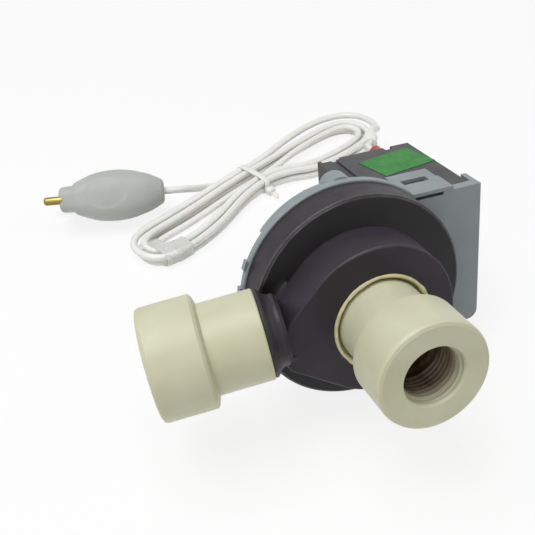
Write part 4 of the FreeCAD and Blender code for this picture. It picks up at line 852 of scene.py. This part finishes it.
def metal(name, colour, worn, rough, band=None, depth=0.00008):
    material = bpy.data.materials.new(name)
    material.use_nodes = True
    tree = material.node_tree
    face = tree.nodes["Principled BSDF"]
    face.inputs["Metallic"].default_value = 1.0
    spots = noise(tree, scale=180.0, detail=5.0)
    fine = noise(tree, scale=2500.0, detail=2.0)
    tint = blend(tree, ramp(tree, spots.outputs["Fac"], 0.0, 1.0), colour, worn)
    tree.links.new(tint, face.inputs["Base Color"])
    tree.links.new(ramp(tree, spots.outputs["Fac"], rough[0], rough[1]), face.inputs["Roughness"])
    normal = bump(tree, fine.outputs["Fac"], strength=0.1, deep=0.00004)
    if band:
        normal = bump(tree, bands(tree, *band).outputs["Fac"], 0.7, depth, under=normal)
    tree.links.new(normal, face.inputs["Normal"])
    return material


# %% Metals
brass = metal("pin_brass", (0.3, 0.24, 0.075), (0.24, 0.185, 0.055), (0.3, 0.45))
dress(brass, "plug_pins", "terminal_tabs")
steel = metal("ground_steel", (0.6, 0.6, 0.61), (0.5, 0.5, 0.5), (0.16, 0.28))
dress(steel, "rotor_shaft")
stack = metal("core_sheets", (0.27, 0.265, 0.255), (0.22, 0.21, 0.19), (0.4, 0.6), band=(320.0, "Y"))
dress(stack, "stator_core")
wire = metal("winding_wire", (0.56, 0.24, 0.1), (0.42, 0.16, 0.06), (0.25, 0.4), band=(620.0, "X"))
dress(wire, "winding_upper", "winding_lower")
ferrite = metal("magnet_ferrite", (0.09, 0.09, 0.095), (0.06, 0.06, 0.06), (0.5, 0.7))
dress(ferrite, "rotor_magnet")

# %% [markdown]
# The rating label is a green film, left bare. A film glued on by hand is never quite flat:
# it follows the cover's grain, traps a few long blisters and is paler where it has rubbed.

# %% Green label
label = moulded("label_green", (0.022, 0.17, 0.026), (0.035, 0.22, 0.04), (0.4, 0.6), grain=0.2,
                cloud_scale=140.0, Specular_IOR_Level=0.3)
label_tree = label.node_tree
blisters = noise(label_tree, 160.0, 3.0, stretch=(0.4, 1.0, 1.0))
label_face = label_tree.nodes["Principled BSDF"]
grain_normal = label_face.inputs["Normal"].links[0].from_socket
raised = bump(label_tree, blisters.outputs["Fac"], strength=0.35, deep=0.0004, under=grain_normal)
label_tree.links.new(raised, label_face.inputs["Normal"])
dress(label, "rating_label")

# %% [markdown]
# Round the outlet the real casing has a hollow neck: a collar under the adapter, a waist,
# and a soft flow into the scroll's wall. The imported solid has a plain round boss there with
# a sharp inner corner. So this lesson works on a copy of the casing, in three steps. A ring
# is cut away, which makes the waist; it stops short where it would bite into the scroll's
# lower corner. Round meets flat meets curved in the inner corner, so the fillet comes from a
# second copy that is remeshed in half-millimetre cells and smoothed: smoothing fills inner
# corners, and only what then stands proud of the casing is kept, as a skin. Last, a turned
# collar is laid round the boss.

# %% Cut the waist into a copy of the casing
from mathutils.bvhtree import BVHTree

neck_out = Vector(mounts["outlet_thread"]["axis"]).normalized()
neck_mouth = Vector(mounts["outlet_thread"]["pos_m"])
neck_in = neck_out * -1
WAIST = [
    # distance behind the mouth, radius
    (38.9, 14.4), (38.9, 13.5), (39.5, 12.95), (40.2, 12.5), (41.0, 12.2), (42.0, 12.1), (43.2, 12.15),
    (43.2, 14.4),
]
waist_back, waist_rim = 43 * MM, 13 * MM
pull_back = 0.8 * MM
pull_from, pull_fade = 0.8, 0.12
scroll_corner = Vector((-20.6, -30.0, 37.9)) * MM - neck_mouth
scroll_corner_way = (scroll_corner - neck_in * scroll_corner.dot(neck_in)).normalized()


def welded(data):
    """A copy of a mesh as a bmesh, its split edges joined again."""
    mesh = bmesh.new()
    mesh.from_mesh(data)
    bmesh.ops.remove_doubles(mesh, verts=mesh.verts, dist=0.000002)
    return mesh


def as_data(mesh, name):
    data = bpy.data.meshes.new(name)
    mesh.to_mesh(data)
    mesh.free()
    return data


def applied(data, *settings):
    """The mesh after a row of modifiers, each a kind and its values."""
    thing = bpy.data.objects.new("work_piece", data)
    for kind, values in settings:
        change = thing.modifiers.new(kind.lower(), kind)
        for key, value in values.items():
            setattr(change, key, value)
    scene.collection.objects.link(thing)
    shaped = bpy.data.meshes.new_from_object(thing.evaluated_get(bpy.context.evaluated_depsgraph_get()))
    bpy.data.objects.remove(thing)
    return shaped


def crease(data, angle):
    """Smooth faces, with every edge sharper than the angle kept sharp."""
    mesh = bmesh.new()
    mesh.from_mesh(data)
    for face in mesh.faces:
        face.smooth = True
    for edge in mesh.edges:
        edge.smooth = len(edge.link_faces) == 2 and edge.calc_face_angle() < angle
    mesh.to_mesh(data)
    mesh.free()


ring = bmesh.new()
lathe(ring, neck_mouth, neck_in, WAIST, 96)
for vertex in ring.verts:
    apart = vertex.co - neck_mouth
    depth = apart.dot(neck_in)
    outward = apart - neck_in * depth
    if depth > waist_back and outward.length > waist_rim:
        toward = outward.normalized().dot(scroll_corner_way)
        vertex.co -= neck_in * (pull_back * max(0.0, min(1.0, (toward - pull_from) / pull_fade)))
bmesh.ops.recalc_face_normals(ring, faces=ring.faces)
cutter = bpy.data.objects.new("waist_cutter", as_data(ring, "waist_cutter"))
scene.collection.objects.link(cutter)
whole = as_data(welded(nodes["volute_casing"].data), "whole_casing")
carved = applied(whole, ("BOOLEAN", {"operation": "DIFFERENCE", "solver": "EXACT", "object": cutter}))
bpy.data.objects.remove(cutter)
print("casing faces", len(whole.polygons), "and with the waist", len(carved.polygons))

# %% Fill the inner corner
neck_from, neck_to = 39.6 * MM, 50.0 * MM
neck_inner, neck_outer = 10.6 * MM, 18.0 * MM
neck_proud = 0.03 * MM
fade_out, fade_back = 4 * MM, 3 * MM
edge_sunk = 0.1 * MM
soft_casing = applied(carved, ("REMESH", {"mode": "VOXEL", "voxel_size": 0.5 * MM}),
                      ("SMOOTH", {"factor": 0.5, "iterations": 110}))
solid = welded(carved)
solid_tree = BVHTree.FromBMesh(solid)
solid.free()
neck_mesh = bmesh.new()
neck_mesh.from_mesh(soft_casing)
bpy.data.meshes.remove(soft_casing)
proud = {}
for vertex in neck_mesh.verts:
    apart = vertex.co - neck_mouth
    depth = apart.dot(neck_in)
    radius = (apart - neck_in * depth).length
    if neck_from < depth < neck_to and neck_inner < radius < neck_outer:
        place, normal, _, _ = solid_tree.find_nearest(vertex.co)
        rise = (vertex.co - place).dot(normal)
        fade = min(1.0, (neck_outer - radius) / fade_out, (neck_to - depth) / fade_back)
        vertex.co -= normal * (rise * (1 - fade))
        proud[vertex] = rise * fade, normal
gone = [face for face in neck_mesh.faces
        if not all(vertex in proud for vertex in face.verts)
        or max(proud[vertex][0] for vertex in face.verts) < neck_proud]
bmesh.ops.delete(neck_mesh, geom=gone, context="FACES")
for vertex in neck_mesh.verts:
    if vertex in proud and proud[vertex][0] < neck_proud:
        vertex.co -= proud[vertex][1] * edge_sunk
neck_data = as_data(neck_mesh, "outlet_neck")
for face in neck_data.polygons:
    face.use_smooth = True
neck_data.materials.clear()
neck_data.materials.append(casing)
keep("outlet_neck", neck_data)
print("neck faces", len(neck_data.polygons))

# %% Collar under the adapter, and the finished casing
COLLAR = [
    # distance behind the mouth, radius
    (37.5, 12.9), (37.5, 15.0), (38.2, 15.05), (38.7, 14.8), (39.2, 14.2), (39.7, 13.45), (40.3, 12.85),
    (41.0, 12.4), (41.9, 12.15), (42.4, 11.9), (42.4, 11.2), (39.6, 12.6),
]
sharp_edge = math.radians(24)
collar = bmesh.new()
lathe(collar, neck_mouth, neck_in, COLLAR, 96)
mesh_piece("outlet_collar", collar, casing)
crease(carved, sharp_edge)
carved.materials.clear()
carved.materials.append(casing)
waisted = keep("casing_with_waist", carved)
even = waisted.modifiers.new("even_shading", "WEIGHTED_NORMAL")
even.keep_sharp = True
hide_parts("volute_casing")

# %% [markdown]
# Both adapters end in a female pipe thread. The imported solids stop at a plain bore, as
# threads are drawn and not machined here. A thread is one ridge wound on a helix: a small
# profile is carried round the bore while it climbs by one pitch a turn, and it fades in
# and out over half a turn, as a tap leaves it.

# %% Pipe threads
pitch = 1.814 * MM
crest = 0.95 * MM
steps_in_turn = 72
first_turn, bare_turns = 0.7, 1.6
RIDGE = [(-0.05, -0.46), (0.72, -0.12), (0.97, 0.0), (0.72, 0.12), (-0.05, 0.46)]


def pipe_thread(name, mount):
    """A helical ridge from the mouth to the end of the tapped length."""
    out = Vector(mount["axis"]).normalized()
    side = out.orthogonal().normalized()
    other = out.cross(side)
    mouth = Vector(mount["pos_m"])
    bore = mount["dims"]["r_mm"] * MM
    rounds = (mount["dims"]["length_mm"] * MM - bare_turns * pitch) / pitch
    count = int(rounds * steps_in_turn)
    mesh = bmesh.new()
    rows = []
    for step in range(count + 1):
        angle = 2 * math.pi * step / steps_in_turn
        fade = min(1.0, step / (steps_in_turn / 2), (count - step) / (steps_in_turn / 2))
        deep = (first_turn + step / steps_in_turn) * pitch
        round_way = math.cos(angle) * side + math.sin(angle) * other
        row = []
        for rise, along in RIDGE:
            inward = crest * (rise if rise < 0 else rise * fade - 0.05 * (1 - fade))
            row.append(mesh.verts.new(mouth + round_way * (bore - inward) - out * (deep + along * pitch)))
        rows.append(row)
    for row, after in zip(rows, rows[1:]):
        for number in range(len(RIDGE) - 1):
            mesh.faces.new((row[number], row[number + 1], after[number + 1], after[number]))
    print(name, "turns", round(rounds, 1))
    return mesh_piece(name, mesh, cream, closed=False)


for mount_name in THREADS:
    pipe_thread(mount_name, mounts[mount_name])

# %% [markdown]
# When the inlet adapter was pushed home, cement came up round it and dried as a rolled lip
# with nicks and runs in it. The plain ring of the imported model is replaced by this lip. Its
# section is carried round the adapter, and a few slow waves and seeded nicks shift its
# width and height, so it is never quite the same twice round the turn.

# %% Squeezed-out cement
import random

inlet_out = Vector(mounts["inlet_thread"]["axis"]).normalized()
lip_behind_mouth = 34.6
lip_middle = Vector(mounts["inlet_thread"]["pos_m"]) - inlet_out * lip_behind_mouth * MM
LIP = [
    # radius, rise
    (15.53, -2.7), (15.55, -0.9), (15.95, -1.3), (16.4, -0.9), (16.62, 0.3), (16.95, 0.75), (17.4, 0.72),
    (17.8, 0.3), (17.9, -0.1), (17.93, -2.7),
]
lip_steps = 288
least_rise = 0.08
# size, number round the lip, shift
WIDE_WAVES = [(0.12, 3, 0.4), (0.1, 7, 1.9), (0.05, 17, 0.0)]
HIGH_WAVES = [(0.12, 2, 2.2), (0.08, 9, 0.7), (0.05, 23, 1.0)]
nick_count = 26
nick_high, nick_wide = 0.8, 0.5
nick = random.Random(11)
nicks = [(nick.uniform(0, 2 * math.pi), nick.uniform(0.03, 0.08), nick.uniform(-0.35, 0.5))
         for _ in range(nick_count)]


def waves(table, angle):
    return sum(size * math.sin(count * angle + shift) for size, count, shift in table)


def lip_change(angle):
    """How the lip's width and height swell at an angle, in millimetres."""
    wide, high = waves(WIDE_WAVES, angle), waves(HIGH_WAVES, angle)
    for middle, width, deep in nicks:
        away = abs((angle - middle + math.pi) % (2 * math.pi) - math.pi)
        high += deep * nick_high * math.exp(-(away / width) ** 2)
        wide += deep * nick_wide * math.exp(-(away / width) ** 2)
    return wide, high


def cement_lip(mesh):
    """The lip's section, carried round the adapter and swollen at each angle."""
    side = inlet_out.orthogonal().normalized()
    other = inlet_out.cross(side)
    rows = []
    for step in range(lip_steps):
        angle = 2 * math.pi * step / lip_steps
        wide, high = lip_change(angle)
        way = math.cos(angle) * side + math.sin(angle) * other
        row = []
        for number, (radius, rise) in enumerate(LIP):
            # points 3 to 6 are the lip's crest, 7 and 8 its outer side
            if 3 <= number <= 6:
                radius -= wide * 0.5
            if number in (7, 8):
                radius += max(wide, 0.0)
            if rise > 0:
                rise = max(rise + high, least_rise)
            row.append(mesh.verts.new(lip_middle + way * radius * MM + inlet_out * rise * MM))
        rows.append(row)
    join_rows(mesh, rows)


cement = moulded("pipe_cement", (0.66, 0.63, 0.43), (0.55, 0.5, 0.27), (0.3, 0.5), grain=0.2,
                 cloud_scale=300.0, Subsurface_Weight=0.1, Subsurface_Scale=0.001)
# painted shade: the low groove between the lip and the adapter is laid on a darker brown
groove_painted_shade = (0.24, 0.2, 0.07)
GROOVE_EDGE = (0.0163, 0.0166)
GROOVE_RISE = (-0.0009, -0.0003)
tree = cement.node_tree
rise, away = along_axis(tree, lip_middle, inlet_out)
in_groove = times(tree, ramp(tree, away, 1.0, 0.0, *GROOVE_EDGE), ramp(tree, rise, 1.0, 0.0, *GROOVE_RISE))
recolour(cement, in_groove, groove_painted_shade)
lip_mesh = bmesh.new()
cement_lip(lip_mesh)
lip = mesh_piece("cement_lip", lip_mesh, cement)
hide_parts("inlet_cement_bead")
